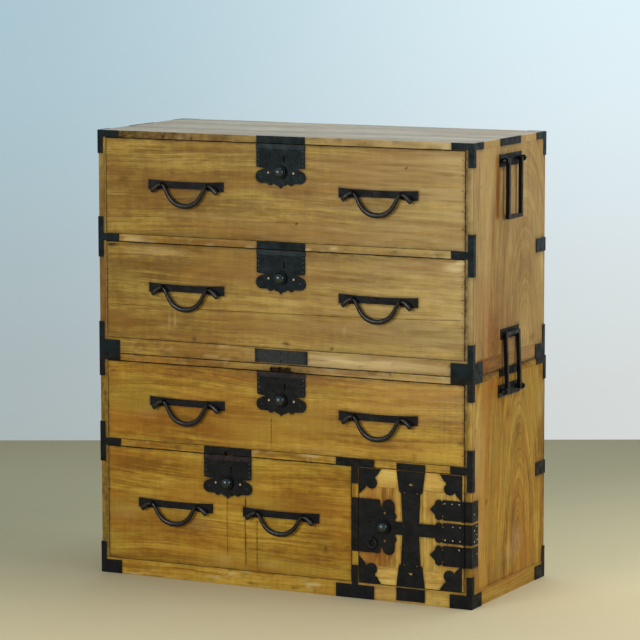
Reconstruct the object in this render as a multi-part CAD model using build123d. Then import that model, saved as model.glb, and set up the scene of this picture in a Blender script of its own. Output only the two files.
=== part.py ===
from build123d import *
import os
from collections import namedtuple
from math import asin, degrees

# Two-section clothing chest (isho dansu): an upper case that stands on a lower case, four
# drawers, a small door with three strap hinges, sheet-iron mounts, drawer pulls and carrying
# bails. Frame: origin at the bottom centre of the case, +X right, +Y back, +Z up, in mm.

# ---- case
case_width = 910.0
case_depth = 396.0
lower_height = 498.0
upper_height = 496.0
upper_setback = 6.5
side_thickness = 18.0
top_thickness = 15.5
base_height = 35.0
base_thickness = 22.0
floor_thickness = 13.0
batten_width = 70.0
back_thickness = 9.0
back_boards = 3
shelf_thickness = 16.0
lower_shelf_z = 290.0
upper_shelf_z = 251.0
divider_x = 178.0
divider_thickness = 16.0

# ---- drawers
front_thickness = 20.0
drawer_side_gap = 0.8
drawer_top_gap = 1.6
drawer_floor_gap = 0.3
drawer_back_gap = 3.0
box_thickness = 12.0
box_floor_thickness = 8.0
box_top_drop = 6.0

# ---- sheet ironwork
iron = 1.6
iron_reach = 52.0
iron_edge = 0.5
back_iron_reach = 44.0
leg_width = 13.0
top_leg = 52.0
foot_leg = 70.0
rail_leg = 45.0
foot_iron_height = 30.0
clip_height = 30.0
divider_leg_width = 14.0
divider_iron_reach = 45.5
divider_leg = 38.0
label_plate_width = 127.0
label_plate_inset = 3.0

# ---- locks
lock_width = 117.0
lock_body = 54.0
lock_notch = 4.5
lock_corner = 5.0
lock_waist = 36.0
lobe_radius = 14.0
lobe_offset = 46.5
lobe_drop = 72.5
small_lobe_radius = 8.0
small_lobe_offset = 25.0
small_lobe_drop = 83.0
lock_tip = 98.0
tip_half_width = 18.0
nail_hole_radius = 3.0
nail_hole_offset = 30.5
nail_hole_drop = 63.0
keyhole_length = 15.0
keyhole_width = 3.8
keyhole_offset = 8.5
keyhole_drop = 33.0
knob_drop = 61.5
knob_radius = 12.2
knob_skirt = 1.5
knob_height = 10.5
stem_radius = 3.5
stem_length = 18.0
collar_wall = 2.4
lock_travel = 6.0
bolt_width = 14.0
bolt_thickness = 6.0
bolt_length = 36.0
bolt_inset = 0.5
mortise_spare = 1.5
bare_pocket_width = 46.0
bare_pocket_height = 5.0
bare_pocket_depth = 3.0

# ---- drawer pulls
pull_spread = 233.0
short_pull_spread = 131.0
pull_plate_length = 187.0
pull_plate_height = 21.0
pull_plate_hollow = 3.0
pull_plate_step = 3.0
pull_plate_waist_half = 52.0
pull_proud = 9.0
pull_rod = 3.8
pull_depth = 45.0
pull_eye_offset = 56.5
pull_eye_outside = 5.5
pull_eye_inside = 7.5
pull_eye_radius = 1.4
pull_shank_radius = 1.26
pull_curl_x = 79.0
pull_curl_drop = 15.0
pull_curl_radius = 4.6
pull_side_in = 11.0
pull_side_drop = 30.0
pull_bottom_in = 33.5
pull_bend = 6.0
pull_bottom_bend = 20.0

# ---- carrying bails
handle_y = -3.0
handle_drop = 47.0
handle_plate_length = 116.0
handle_plate_height = 27.0
bail_proud = 10.5
bail_bar = 8.0
bail_half_width = 33.5
bail_length = 122.0
journal_radius = 3.2
journal_end = 54.0
journal_tip = 64.0
journal_tip_radius = 1.1
handle_eye_offset = 46.0
handle_eye_width = 6.0
handle_eye_radius = 6.6
handle_foot_half = 4.6
wear_strip_length = 108.0
wear_strip_height = 16.0
wear_plate_length = 97.0
wear_plate_height = 23.0

# ---- door
door_thickness = 18.0
door_latch_gap = 2.0
door_hinge_gap = 1.0
door_top_gap = 2.0
door_floor_gap = 1.5
cleat_height = 40.0
band_top_half = 33.5
band_shoulder_half = 28.0
band_pinch_half = 22.5
band_waist_half = 18.7
band_shoulder_drop = 49.0
band_lobe_radius = 8.0
band_dot_x = 15.0
dot_radius = 1.8
band_rail_inset = 2.0
band_foot = 5.0
cross_band_height = 28.0
moon_radius = 5.0
moon_drop = 31.0
ornament_width = 52.0
ornament_height = 57.0
ornament_tip = (40.0, -17.0)
ornament_cheek = (17.0, -40.0)
ornament_lobe = (29.0, -31.0)
ornament_lobe_radius = 13.0
hinge_spacing = 49.5
hinge_drop = 1.5
strap_height = 44.0
strap_length = 79.0
strap_tip = 12.0
strap_lobe_radius = 9.0
strap_cheek_half = 16.6
hinge_wrap = 32.0
barrel_radius = 3.6
barrel_proud = 4.0
leaf_gap = 3.6
pin_radius = 1.8
pin_gap = 0.05
knuckles = 5
knuckle_gap = 0.2
ring_radius = 9.5
ring_rod = 1.6
ring_offset = 27.0
ring_side = 36.0
ring_proud = 4.8
ring_eye_rod = 1.2
ring_shank_radius = 1.08

# ---- clearances
running_gap = 0.4
seat_gap = 0.3

# ---- worked-out places
half_width = case_width / 2
half_depth = case_depth / 2
wood_x = half_width - iron
wood_front = iron - half_depth
wood_back = half_depth - iron
inner_x = wood_x - side_thickness
divider_left = divider_x - divider_thickness / 2
divider_right = divider_x + divider_thickness / 2
knob_seat = lock_travel + seat_gap
collar_height = knob_seat + 0.5
collar_inner = knob_radius + running_gap
stem_hole = stem_radius + running_gap
mortise_depth = lock_travel + mortise_spare

# A case: the heights of its foot, floor, shelf, roof and head, the places of its back faces
# and of the lock under its shelf.
Case = namedtuple("Case", "foot floor rail roof head back lock_x")


def case(foot, height, shelf_z, back, lock_x):
    """Levels of a case that stands at a given height."""
    rail = (foot + shelf_z, foot + shelf_z + shelf_thickness)
    head = foot + height
    return Case(foot, foot + base_height, rail, head - top_thickness, head, back, lock_x)


lower = case(0, lower_height, lower_shelf_z, wood_back, (divider_left - inner_x) / 2)
upper = case(lower_height, upper_height, upper_shelf_z, wood_back - upper_setback, 0)

# A drawer: its case, the x and z ranges of its opening, the spread and drop of its pulls.
Drawer = namedtuple("Drawer", "case x z spread drop")
full_x = (-inner_x, inner_x)
short_x = (-inner_x, divider_left)
drawers = {
    "drawer_1": Drawer(upper, full_x, (upper.rail[1], upper.roof), pull_spread, 100.0),
    "drawer_2": Drawer(upper, full_x, (upper.floor, upper.rail[0]), pull_spread, 98.0),
    "drawer_3": Drawer(lower, full_x, (lower.rail[1], lower.roof), pull_spread, 85.0),
    "drawer_4": Drawer(lower, short_x, (lower.floor, lower.rail[0]), short_pull_spread, 123.0),
}

door_opening = ((divider_right, inner_x), (lower.floor, lower.rail[0]))
door_x = (divider_right + door_latch_gap, inner_x - door_hinge_gap)
door_z = (lower.floor + door_floor_gap, lower.rail[0] - door_top_gap)
door_middle_x = sum(door_opening[0]) / 2
door_middle_z = sum(door_opening[1]) / 2
pin_x = inner_x - door_hinge_gap / 2
pin_y = wood_front - barrel_proud

nodes = {}


# ---- helpers

def block(x, y, z):
    """Box between two corners, given as ranges in any order."""
    size = [abs(r[1] - r[0]) for r in (x, y, z)]
    middle = [(r[0] + r[1]) / 2 for r in (x, y, z)]
    return Pos(*middle) * Box(*size)


def keep(node, *shapes):
    """Store the solids of one node."""
    nodes[node] = [solid for shape in shapes for solid in shape.solids()]


def front_plane(x, z):
    """Plane on the wooden front, facing the room."""
    return Plane(origin=(x, wood_front, z), x_dir=(1, 0, 0), z_dir=(0, -1, 0))


def front_plate(x, z):
    """Flat iron on the front."""
    return block(x, (wood_front, -half_depth), z)


def side_plate(side, y, z):
    """Flat iron on one side."""
    return block((side * wood_x, side * half_width), y, z)


def around(middle, half):
    """Range centred on a point."""
    return (middle - half, middle + half)


def middle_of(limits):
    """Middle of a range."""
    return sum(limits) / 2


# ---- cases

def lock_mortise(x, z_low):
    """Notch in the front edge of the board above a drawer lock."""
    half = bolt_width / 2 + running_gap
    depth = bolt_thickness + 2 * running_gap
    return block(around(x, half), (wood_front, wood_front + depth), (z_low, z_low + mortise_depth))


def base_frame(case):
    """Sill frame of a case: four rails, the floor board and a middle batten."""
    z = (case.foot, case.floor)
    floor_low = case.floor - floor_thickness
    front_back = wood_front + base_thickness
    back_front = case.back - base_thickness
    inside_y = (front_back, back_front)
    front_rail = block((-wood_x, wood_x), (wood_front, front_back), z)
    back_rail = block((-wood_x, wood_x), (back_front, case.back), z)
    left_rail = block((-wood_x, -inner_x), inside_y, z)
    right_rail = block((inner_x, wood_x), inside_y, z)
    floor = block(full_x, inside_y, (floor_low, case.floor))
    batten = block(around(0, batten_width / 2), inside_y, (case.foot, floor_low))
    return front_rail, back_rail, left_rail, right_rail, floor, batten


def side_boards(case):
    """The two side boards of a case."""
    z = (case.floor, case.roof)
    y = (wood_front, case.back)
    return block((-wood_x, -inner_x), y, z), block((inner_x, wood_x), y, z)


def back_panel(case):
    """Back of a case, of boards laid edge to edge between the sides."""
    step = (case.roof - case.floor) / back_boards
    heights = [(case.floor + i * step, case.floor + (i + 1) * step) for i in range(back_boards)]
    return [block(full_x, (case.back - back_thickness, case.back), z) for z in heights]


def top_board(case):
    """Top board of a case, over both sides, notched for the lock bolt below it."""
    board = block((-wood_x, wood_x), (wood_front, case.back), (case.roof, case.head))
    return board - lock_mortise(0, case.roof)


def shelf(case):
    """Full-depth shelf whose front edge shows as a rail."""
    board = block(full_x, (wood_front, case.back - back_thickness), case.rail)
    return board - lock_mortise(case.lock_x, case.rail[0])


def bare_pocket():
    """Ragged recess in the lower top board's edge, where a lock has lost its strike plate."""
    z = (lower.roof, lower.roof + bare_pocket_height)
    return block(around(0, bare_pocket_width / 2), (wood_front, wood_front + bare_pocket_depth), z)


def divider():
    """Upright board between the lowest drawer and the door."""
    y = (wood_front, lower.back - back_thickness)
    board = block((divider_left, divider_right), y, (lower.floor, lower.rail[0]))
    half = bolt_width / 2 + running_gap
    depth = bolt_thickness + 2 * running_gap
    mortise_x = (divider_right - mortise_depth, divider_right)
    return board - block(mortise_x, (wood_front, wood_front + depth), around(door_middle_z, half))


# ---- sheet irons

def corner_iron(case, side, end, bar, face_reach, side_reach, rise=None):
    """Iron folded round a corner: a bar and an upright leg on the face and on the side."""
    x_out = side * half_width
    y_out = -half_depth if end < 0 else case.back + iron
    face_y = (y_out - end * iron, y_out)
    side_x = (x_out - side * iron, x_out)
    pieces = block((x_out, x_out - side * face_reach), face_y, bar)
    pieces += block(side_x, (y_out, y_out - end * side_reach), bar)
    if rise:
        pieces += block((x_out, x_out - side * leg_width), face_y, rise)
        pieces += block(side_x, (y_out, y_out - end * leg_width), rise)
    return pieces


def corner_irons(case):
    """All folded irons of one case."""
    irons = []
    clip = around((case.foot + case.head) / 2, clip_height / 2)
    rail_rise = around(middle_of(case.rail), rail_leg)
    top_bar = (case.roof + iron_edge, case.head)
    top_rise = (case.head - top_leg, case.head)
    foot_bar = (case.foot, case.foot + foot_iron_height)
    foot_rise = (case.foot, case.foot + foot_leg)
    for side in (-1, 1):
        for end, reach in ((-1, iron_reach), (1, back_iron_reach)):
            irons.append(corner_iron(case, side, end, top_bar, reach, iron_reach, top_rise))
            irons.append(corner_iron(case, side, end, foot_bar, reach, iron_reach, foot_rise))
        irons.append(corner_iron(case, side, -1, case.rail, iron_reach, leg_width, rail_rise))
        irons.append(corner_iron(case, side, 1, clip, back_iron_reach, iron_reach))
    return irons


def strike_plate(x, rail, notched=False):
    """Plate on the rail above a lock."""
    plate = front_plate(around(x, lock_width / 2), (rail[0] + iron_edge, rail[1]))
    if notched:
        notch = front_plate(around(x, bolt_width / 2 + running_gap), (rail[0], middle_of(rail)))
        plate -= notch
    return plate


def divider_irons():
    """T-irons where the divider meets the rail above it and the sill below it."""
    bar_x = around(divider_x, divider_iron_reach)
    leg_x = around(divider_x, divider_leg_width / 2)
    upper_iron = front_plate(bar_x, lower.rail)
    upper_iron += front_plate(leg_x, (lower.rail[0] - divider_leg, lower.rail[1]))
    foot_iron = front_plate(bar_x, (iron_edge, foot_iron_height))
    foot_iron += front_plate(leg_x, (iron_edge, base_height + divider_leg))
    return upper_iron, foot_iron


def door_strike():
    """Plate on the divider that the door lock closes against."""
    return front_plate((divider_left + iron_edge, divider_right), around(door_middle_z, lock_width / 2))


def door_band_ends():
    """Ends of the door's upright band, on the rail above and the sill below."""
    x = around(door_middle_x, band_top_half)
    above = front_plate(x, (lower.rail[0], lower.rail[1] - band_rail_inset))
    below = front_plate(x, (band_foot, base_height - band_rail_inset))
    return above, below


# ---- locks

def lock_sketch(top_gap):
    """Outline of a lock plate, its top edge at top_gap below the edge of the opening."""
    half = lock_width / 2
    body_middle = -(top_gap + lock_body) / 2
    lobes_middle = -(lock_body + lobe_drop + lobe_radius) / 2
    shape = Pos(0, body_middle) * Rectangle(lock_width, lock_body - top_gap)
    shape = fillet(shape.vertices().sort_by(Axis.Y)[:2], lock_corner)
    shape += Pos(0, lobes_middle) * Rectangle(2 * lobe_offset, lobe_drop + lobe_radius - lock_body)
    for side in (-1, 1):
        shape += Pos(side * lobe_offset, -lobe_drop) * Circle(lobe_radius)
        shape += Pos(side * small_lobe_offset, -small_lobe_drop) * Circle(small_lobe_radius)
    shape += lock_tip_sketch()
    for side in (-1, 1):
        mouth_top = (side * (half + 1), -lock_body + lock_notch / 2)
        mouth_low = (side * (half + 1), -lock_body - lock_notch)
        inner = (side * lock_waist, -lock_body - 1.0)
        shape -= make_face(Polyline(mouth_top, inner, mouth_low, close=True))
        shape -= Pos(side * nail_hole_offset, -nail_hole_drop) * Circle(nail_hole_radius)
    slot = Pos(keyhole_offset, -keyhole_drop) * Rot(0, 0, 90) * SlotOverall(keyhole_length, keyhole_width)
    return shape - slot - Pos(0, -knob_drop) * Circle(stem_hole)


def lock_tip_sketch():
    """Ogee point at the foot of a lock plate."""
    top = lobe_drop + lobe_radius - 2.0
    rise = (lock_tip - top) / 2
    mid_x = tip_half_width / 2
    right = ThreePointArc((tip_half_width, -top), (mid_x * 1.55, -top - rise * 0.7), (mid_x, -top - rise))
    right_low = ThreePointArc((mid_x, -top - rise), (mid_x * 0.4, -top - rise * 1.35), (0, -lock_tip))
    left_low = mirror(right_low, Plane.YZ)
    left = mirror(right, Plane.YZ)
    across = Line((-tip_half_width, -top), (tip_half_width, -top))
    return make_face([across, right, right_low, left_low, left])


def lock_plate(plane, top_gap):
    """Lock plate with the raised collar round its knob."""
    plate = extrude(plane * lock_sketch(top_gap), amount=iron)
    ring = Circle(collar_inner + collar_wall) - Circle(collar_inner)
    seat = plane.offset(iron) * Pos(0, -knob_drop) * ring
    return plate + extrude(seat, amount=collar_height)


def knob(plane):
    """Push knob: a domed head on a stem that runs into the wood."""
    dome = knob_height - knob_skirt
    ball_radius = (knob_radius**2 + dome**2) / (2 * dome)
    ball = Pos(0, 0, knob_height - ball_radius) * Sphere(ball_radius)
    head = Pos(0, 0, knob_height / 2) * Cylinder(knob_radius, knob_height) & ball
    stem = Pos(0, 0, -stem_length / 2) * Cylinder(stem_radius, stem_length)
    seat = plane.offset(iron + knob_seat) * Pos(0, -knob_drop)
    return seat * (head + stem)


def lock_recess(plane, top_gap):
    """Hollow in the wood behind a lock plate, for the bolt and the knob's stem."""
    depth = bolt_thickness + 2 * running_gap
    length = bolt_length + bolt_inset + running_gap
    half = bolt_width / 2 + running_gap
    channel = plane * Pos(0, -top_gap - length / 2, -depth / 2) * Box(2 * half, length, depth)
    reach = stem_length - knob_seat - iron + lock_travel + running_gap
    bore = plane * Pos(0, -knob_drop, -reach / 2) * Cylinder(stem_hole, reach)
    return channel + bore


def bolt(plane, top_gap):
    """Flat bolt that slides out of the edge of the drawer front or the door."""
    middle = -top_gap - bolt_inset - bolt_length / 2
    depth = -running_gap - bolt_thickness / 2
    return plane * Pos(0, middle, depth) * Box(bolt_width, bolt_length, bolt_thickness)


# ---- drawers

def drawer_box(case, x, z):
    """Sides, back and bottom of a drawer, behind its front board."""
    y_front = wood_front + front_thickness
    y_back = case.back - back_thickness - drawer_back_gap
    top = z[1] - box_top_drop
    inside_x = (x[0] + box_thickness, x[1] - box_thickness)
    left = block((x[0], inside_x[0]), (y_front, y_back), (z[0], top))
    right = block((inside_x[1], x[1]), (y_front, y_back), (z[0], top))
    back = block(inside_x, (y_back - box_thickness, y_back), (z[0], top))
    floor = block(inside_x, (y_front, y_back - box_thickness), (z[0], z[0] + box_floor_thickness))
    return left, right, back, floor


def pull_plate_sketch():
    """Backplate of a pull: hollow along its upper edge, its lower edge stepped down at the ends."""
    end_x = pull_plate_length / 2
    end_z = pull_plate_height / 2
    low_x = pull_plate_waist_half
    low_z = end_z - pull_plate_step
    top = ThreePointArc((-end_x, end_z), (0, end_z - pull_plate_hollow), (end_x, end_z))
    right = Polyline((end_x, end_z), (end_x, -end_z), (low_x + pull_plate_step, -end_z), (low_x, -low_z))
    left = Polyline((-low_x, -low_z), (-low_x - pull_plate_step, -end_z), (-end_x, -end_z), (-end_x, end_z))
    return make_face([top, right, Line((low_x, -low_z), (-low_x, -low_z)), left])


def pull_plate_set(x, z):
    """Backplate and the two eyes of one drawer pull."""
    plate = extrude(front_plane(x, z) * pull_plate_sketch(), amount=iron)
    eyes = []
    major = pull_rod + running_gap + pull_eye_radius
    shank_length = pull_proud - iron - major
    for side in (-1, 1):
        eye_x = x + side * pull_eye_offset
        ring = Pos(eye_x, wood_front - pull_proud, z) * Rot(0, 90, 0) * Torus(major, pull_eye_radius)
        shank_y = wood_front - iron - shank_length / 2
        shank = Pos(eye_x, shank_y, z) * Rot(90, 0, 0) * Cylinder(pull_shank_radius, shank_length)
        eyes.append(ring + shank)
    return plate, *eyes


def pull_path(x, z):
    """Centre line of a drawer pull: curled ends, two straight seats and the bow."""
    seat_out = pull_eye_offset + pull_eye_outside
    seat_in = pull_eye_offset - pull_eye_inside
    right = [(pull_curl_x, -pull_curl_drop), (seat_out, 0), (seat_in, 0)]
    right += [(seat_in - pull_side_in, -pull_side_drop), (seat_in - pull_bottom_in, -pull_depth)]
    left = [(-px, pz) for px, pz in reversed(right)]
    bends = [pull_bend, pull_bend, pull_bottom_bend, pull_bottom_bend]
    points = [(x + px, wood_front - pull_proud, z + pz) for px, pz in right + left]
    return FilletPolyline(*points, radius=bends + bends[::-1])


def pull_bail(x, z):
    """Swinging bail of a drawer pull."""
    path = pull_path(x, z)
    section = Plane(origin=path @ 0, z_dir=path % 0) * Circle(pull_rod)
    bail = sweep(section, path=path)
    for side in (-1, 1):
        curl = Pos(x + side * pull_curl_x, wood_front - pull_proud, z - pull_curl_drop)
        bail += curl * Sphere(pull_curl_radius)
    return bail


def drawer(name, case, opening_x, opening_z, spread, drop):
    """One drawer with its box, lock, pulls and bolt."""
    x = (opening_x[0] + drawer_side_gap, opening_x[1] - drawer_side_gap)
    z = (opening_z[0] + drawer_floor_gap, opening_z[1] - drawer_top_gap)
    lock_x = middle_of(opening_x)
    plane = front_plane(lock_x, opening_z[1])
    board = block(x, (wood_front, wood_front + front_thickness), z)
    keep(name + "_front", board - lock_recess(plane, drawer_top_gap))
    keep(name + "_box", *drawer_box(case, x, z))
    keep(name + "_lock_plate", lock_plate(plane, drawer_top_gap))
    keep(name + "_knob", knob(plane))
    keep(name + "_bolt", bolt(plane, drawer_top_gap))
    plates = []
    for label, side in (("left", -1), ("right", 1)):
        pull_x = lock_x + side * spread
        pull_z = opening_z[1] - drop
        plates += pull_plate_set(pull_x, pull_z)
        keep(name + "_pull_" + label, pull_bail(pull_x, pull_z))
    keep(name + "_pull_plates", *plates)


# ---- carrying bails

def handle_plates(side, head):
    """Backplate, eyes and wear strip of one carrying bail."""
    z = head - handle_drop
    plate = side_plate(side, around(handle_y, handle_plate_length / 2), around(z, handle_plate_height / 2))
    strip = side_plate(side, around(handle_y, wear_strip_length / 2), (head - wear_strip_height, head))
    eyes = []
    hole = journal_radius + running_gap
    foot_x = (side * half_width, side * (wood_x + bail_proud))
    for end in (-1, 1):
        eye_y = handle_y + end * handle_eye_offset
        turned = Pos(side * (wood_x + bail_proud), eye_y, z) * Rot(90, 0, 0)
        eye = turned * Cylinder(handle_eye_radius, handle_eye_width)
        eye += block(foot_x, around(eye_y, handle_eye_width / 2), around(z, handle_foot_half))
        eyes.append(eye - turned * Cylinder(hole, 2 * handle_eye_width))
    return [plate, strip, *eyes]


def wear_plate(side):
    """Plate on the upper case that a raised lower bail rests against."""
    z = lower.head - handle_drop + bail_length
    return side_plate(side, around(handle_y, wear_plate_length / 2), around(z, wear_plate_height / 2))


def carry_bail(side, head, raised):
    """Square bail with pointed journals turned outwards through its eyes."""
    half = bail_bar / 2
    bail = Pos(0, 0, -bail_length) * Box(bail_bar, 2 * bail_half_width + bail_bar, bail_bar)
    for end in (-1, 1):
        bail += block((-half, half), around(end * bail_half_width, half), (-bail_length, half))
        journal = journal_end - bail_half_width
        turned = Rot(-90 * end, 0, 0)
        middle = end * (bail_half_width + journal / 2)
        bail += Pos(0, middle, 0) * turned * Cylinder(journal_radius, journal)
        taper = journal_tip - journal_end
        tip = turned * Cone(journal_radius, journal_tip_radius, taper)
        bail += Pos(0, end * (journal_end + taper / 2), 0) * tip
    turn = 0
    if raised:
        swing = (bail_proud - half - iron - seat_gap) / (bail_length + half)
        turn = 180 + degrees(asin(swing))
    place = Pos(side * (wood_x + bail_proud), handle_y, head - handle_drop)
    return place * Rot(0, -side * turn, 0) * bail


# ---- door

def door_panel():
    """Door: a middle panel between two cleats, hollowed behind its lock."""
    y = (wood_front, wood_front + door_thickness)
    top = (door_z[1] - cleat_height, door_z[1])
    bottom = (door_z[0], door_z[0] + cleat_height)
    recess = lock_recess(door_lock_plane(), door_latch_gap)
    panel = block(door_x, y, (bottom[1], top[0])) - recess
    return panel, block(door_x, y, top), block(door_x, y, bottom)


def door_lock_plane():
    """Plane of the door lock: the drawer lock turned a quarter, its bolt towards the divider."""
    return Plane(origin=(divider_right, wood_front, door_middle_z), x_dir=(0, 0, 1), z_dir=(0, -1, 0))


def upright_band_sketch(height):
    """Half of the scalloped upright band, from the middle of the door to its top edge."""
    shoulder = height - band_shoulder_drop
    lobe_x = band_shoulder_half - band_lobe_radius
    lobe_z = shoulder + band_lobe_radius
    right = [(band_waist_half, 0), (band_pinch_half, shoulder), (lobe_x, shoulder), (lobe_x, lobe_z)]
    right += [(band_shoulder_half, lobe_z), (band_top_half, height)]
    left = [(-px, pz) for px, pz in reversed(right)]
    band = make_face(Polyline(*right, *left, close=True))
    for side in (-1, 1):
        band += Pos(side * lobe_x, lobe_z) * Circle(band_lobe_radius)
        band -= Pos(side * band_dot_x, shoulder + dot_radius) * Circle(dot_radius)
    moon = Circle(moon_radius) & Pos(0, moon_radius / 2) * Rectangle(2 * moon_radius, moon_radius)
    return band - Pos(0, height - moon_drop) * moon


def strap_sketch():
    """Outline of one door strap: its pointed end is at minus its length, its hinge end at 0."""
    lobe_x = strap_tip + strap_lobe_radius - strap_length
    neck = lobe_x + strap_lobe_radius
    shape = Pos((neck - leaf_gap) / 2, 0) * Rectangle(-neck - leaf_gap, strap_height)
    tip = [(-strap_length, 0), (lobe_x - strap_lobe_radius / 2, strap_cheek_half)]
    tip += [(neck + dot_radius, strap_cheek_half)]
    tip += [(px, -pz) for px, pz in reversed(tip[1:])]
    shape += make_face(Polyline(*tip, close=True))
    for end in (-1, 1):
        shape += Pos(lobe_x, end * (strap_height / 2 - strap_lobe_radius)) * Circle(strap_lobe_radius)
    return shape


def strap_dots():
    """Two small round holes behind the lobes of a door strap."""
    neck = strap_tip + 2 * strap_lobe_radius - strap_length
    offset = strap_height / 2 - strap_lobe_radius
    return [Pos(neck, end * offset) * Circle(dot_radius) for end in (-1, 1)]


def ornament_sketch():
    """Corner ornament: two pointed arms and a round lobe, its corner at the origin."""
    arms = [(0, 0), (ornament_width, 0), ornament_tip, ornament_cheek, (0, -ornament_height)]
    shape = make_face(Polyline(*arms, close=True))
    shape += Pos(*ornament_lobe) * Circle(ornament_lobe_radius)
    for dot in (ornament_tip, ornament_cheek):
        shape -= Pos(*dot) * Circle(dot_radius)
    return shape


def door_irons():
    """Crossed bands and corner ornaments on the door."""
    middle = front_plane(door_middle_x, door_middle_z)
    cross_half = cross_band_height / 2
    upper_half = door_z[1] - door_middle_z
    lower_half = door_middle_z - door_z[0]
    cross_x = (lock_body, pin_x - divider_right - leaf_gap)
    start = divider_right - door_middle_x
    cross = Pos(start + middle_of(cross_x), 0) * Rectangle(cross_x[1] - cross_x[0], 2 * cross_half)
    bands = upright_band_sketch(upper_half) + Rot(0, 0, 180) * upright_band_sketch(lower_half) + cross
    shape = extrude(middle * bands, amount=iron)
    shape -= lock_solid() + strap_solid(0)
    ornaments = []
    hinge_edge = pin_x - barrel_radius - running_gap
    for side, edge_x in ((1, door_x[0] + iron_edge), (-1, hinge_edge)):
        for end, edge_z in ((1, door_z[1] - iron_edge), (-1, door_z[0] + iron_edge)):
            sketch = ornament_sketch()
            if side < 0:
                sketch = mirror(sketch, Plane.YZ)
            if end < 0:
                sketch = mirror(sketch, Plane.XZ)
            ornaments.append(extrude(front_plane(edge_x, edge_z) * sketch, amount=iron))
    straps = strap_solid(-1) + strap_solid(1)
    return [shape, *[piece - straps for piece in ornaments]]


def lock_solid():
    """The door lock's plate filled in, to cut the band that ends against it."""
    plane = door_lock_plane()
    filled = lock_sketch(door_latch_gap) + Pos(0, -knob_drop) * Circle(2 * stem_hole)
    return extrude(plane * filled, amount=iron)


def strap_solid(row):
    """Flat part of the door strap in row -1, 0 or 1."""
    return extrude(front_plane(pin_x, hinge_z(row)) * strap_sketch(), amount=iron)


def hinge_z(row):
    """Height of the middle of the hinge in row -1, 0 or 1."""
    return door_middle_z - hinge_drop + row * hinge_spacing


def knuckle_ranges(row, first):
    """Heights of every second knuckle of a hinge, from knuckle number first."""
    low = hinge_z(row) - strap_height / 2
    step = strap_height / knuckles
    gap = knuckle_gap / 2
    return [(low + i * step + gap, low + (i + 1) * step - gap) for i in range(first, knuckles, 2)]


def knuckle(z, side):
    """One knuckle with the tongue that joins it to its leaf on the given side."""
    height = z[1] - z[0]
    barrel = Pos(pin_x, pin_y, middle_of(z)) * Cylinder(barrel_radius, height)
    tongue = block((pin_x, pin_x + side * leaf_gap), (wood_front - iron / 2, wood_front - iron), z)
    tongue += block((pin_x, pin_x + side * leaf_gap), (wood_front - iron, pin_y), z)
    hole = Pos(pin_x, pin_y, middle_of(z)) * Cylinder(pin_radius + pin_gap, height)
    return barrel + tongue - hole


def door_leaf(row):
    """Strap of the door with its knuckles."""
    leaf = strap_solid(row)
    for dot in strap_dots():
        leaf -= extrude(front_plane(pin_x, hinge_z(row)) * dot, amount=iron)
    for z in knuckle_ranges(row, 1):
        leaf += knuckle(z, -1)
    return leaf


def post_leaf(row):
    """Fixed leaf on the case edge, folded round the corner, with its knuckles."""
    z = around(hinge_z(row), strap_height / 2)
    leaf = front_plate((pin_x + leaf_gap, half_width), z)
    leaf += side_plate(1, (-half_depth, hinge_wrap - half_depth), z)
    for height in knuckle_ranges(row, 0):
        leaf += knuckle(height, 1)
    return leaf


def hinge_pin(row):
    """Pin through the knuckles of one hinge."""
    z = hinge_z(row)
    return Pos(pin_x, pin_y, z) * Cylinder(pin_radius, strap_height)


def ring_eye_place():
    """Point that the ring pull of the door hangs from."""
    y = wood_front - iron - ring_proud
    return (divider_right + ring_side, y, door_middle_z - ring_offset)


def ring_pull():
    """Ring that hangs flat in front of the door's lock plate."""
    x, y, z = ring_eye_place()
    return Pos(x, y, z - ring_radius) * Rot(90, 0, 0) * Torus(ring_radius, ring_rod)


def ring_eye():
    """Eye of the ring pull, on the door's lock plate."""
    x, y, z = ring_eye_place()
    major = ring_rod + running_gap + ring_eye_rod
    shank = ring_proud - major
    eye = Pos(x, y, z) * Rot(0, 90, 0) * Torus(major, ring_eye_rod)
    foot = Pos(x, wood_front - iron - shank / 2, z)
    return eye + foot * Rot(90, 0, 0) * Cylinder(ring_shank_radius, shank)


# ---- assembly

for name, level in (("lower", lower), ("upper", upper)):
    keep(name + "_base_frame", *base_frame(level))
    keep(name + "_sides", *side_boards(level))
    keep(name + "_back_panel", *back_panel(level))
    keep(name + "_shelf", shelf(level))
keep("lower_top_board", top_board(lower) - bare_pocket())
keep("upper_top_board", top_board(upper))
keep("lower_divider", divider())

lower_irons = corner_irons(lower)
lower_irons += [*divider_irons(), *door_band_ends(), door_strike()]
lower_irons.append(strike_plate(lower.lock_x, lower.rail, notched=True))
keep("lower_irons", *lower_irons)
label_z = (upper.foot + label_plate_inset, upper.floor - label_plate_inset)
upper_irons = corner_irons(upper)
upper_irons += [strike_plate(0, (upper.roof, upper.head)), strike_plate(0, upper.rail)]
upper_irons.append(front_plate(around(0, label_plate_width / 2), label_z))
keep("upper_irons", *upper_irons)

for name, made in drawers.items():
    drawer(name, *made)

for name, top_z, is_raised in (("upper", upper.head, False), ("lower", lower.head, True)):
    fittings = []
    for label, hand in (("left", -1), ("right", 1)):
        fittings += handle_plates(hand, top_z)
        if not is_raised:
            fittings.append(wear_plate(hand))
        keep(name + "_bail_" + label, carry_bail(hand, top_z, is_raised))
    keep(name + "_handle_plates", *fittings)

keep("door_panel", *door_panel())
keep("door_irons", *door_irons())
keep("door_lock_plate", lock_plate(door_lock_plane(), door_latch_gap), ring_eye())
keep("door_knob", knob(door_lock_plane()))
keep("door_bolt", bolt(door_lock_plane(), door_latch_gap))
keep("door_ring", ring_pull())
keep("door_hinge_straps", *[door_leaf(row) for row in (-1, 0, 1)])
keep("post_hinge_leaves", *[post_leaf(row) for row in (-1, 0, 1)])
keep("hinge_pins", *[hinge_pin(row) for row in (-1, 0, 1)])

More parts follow.
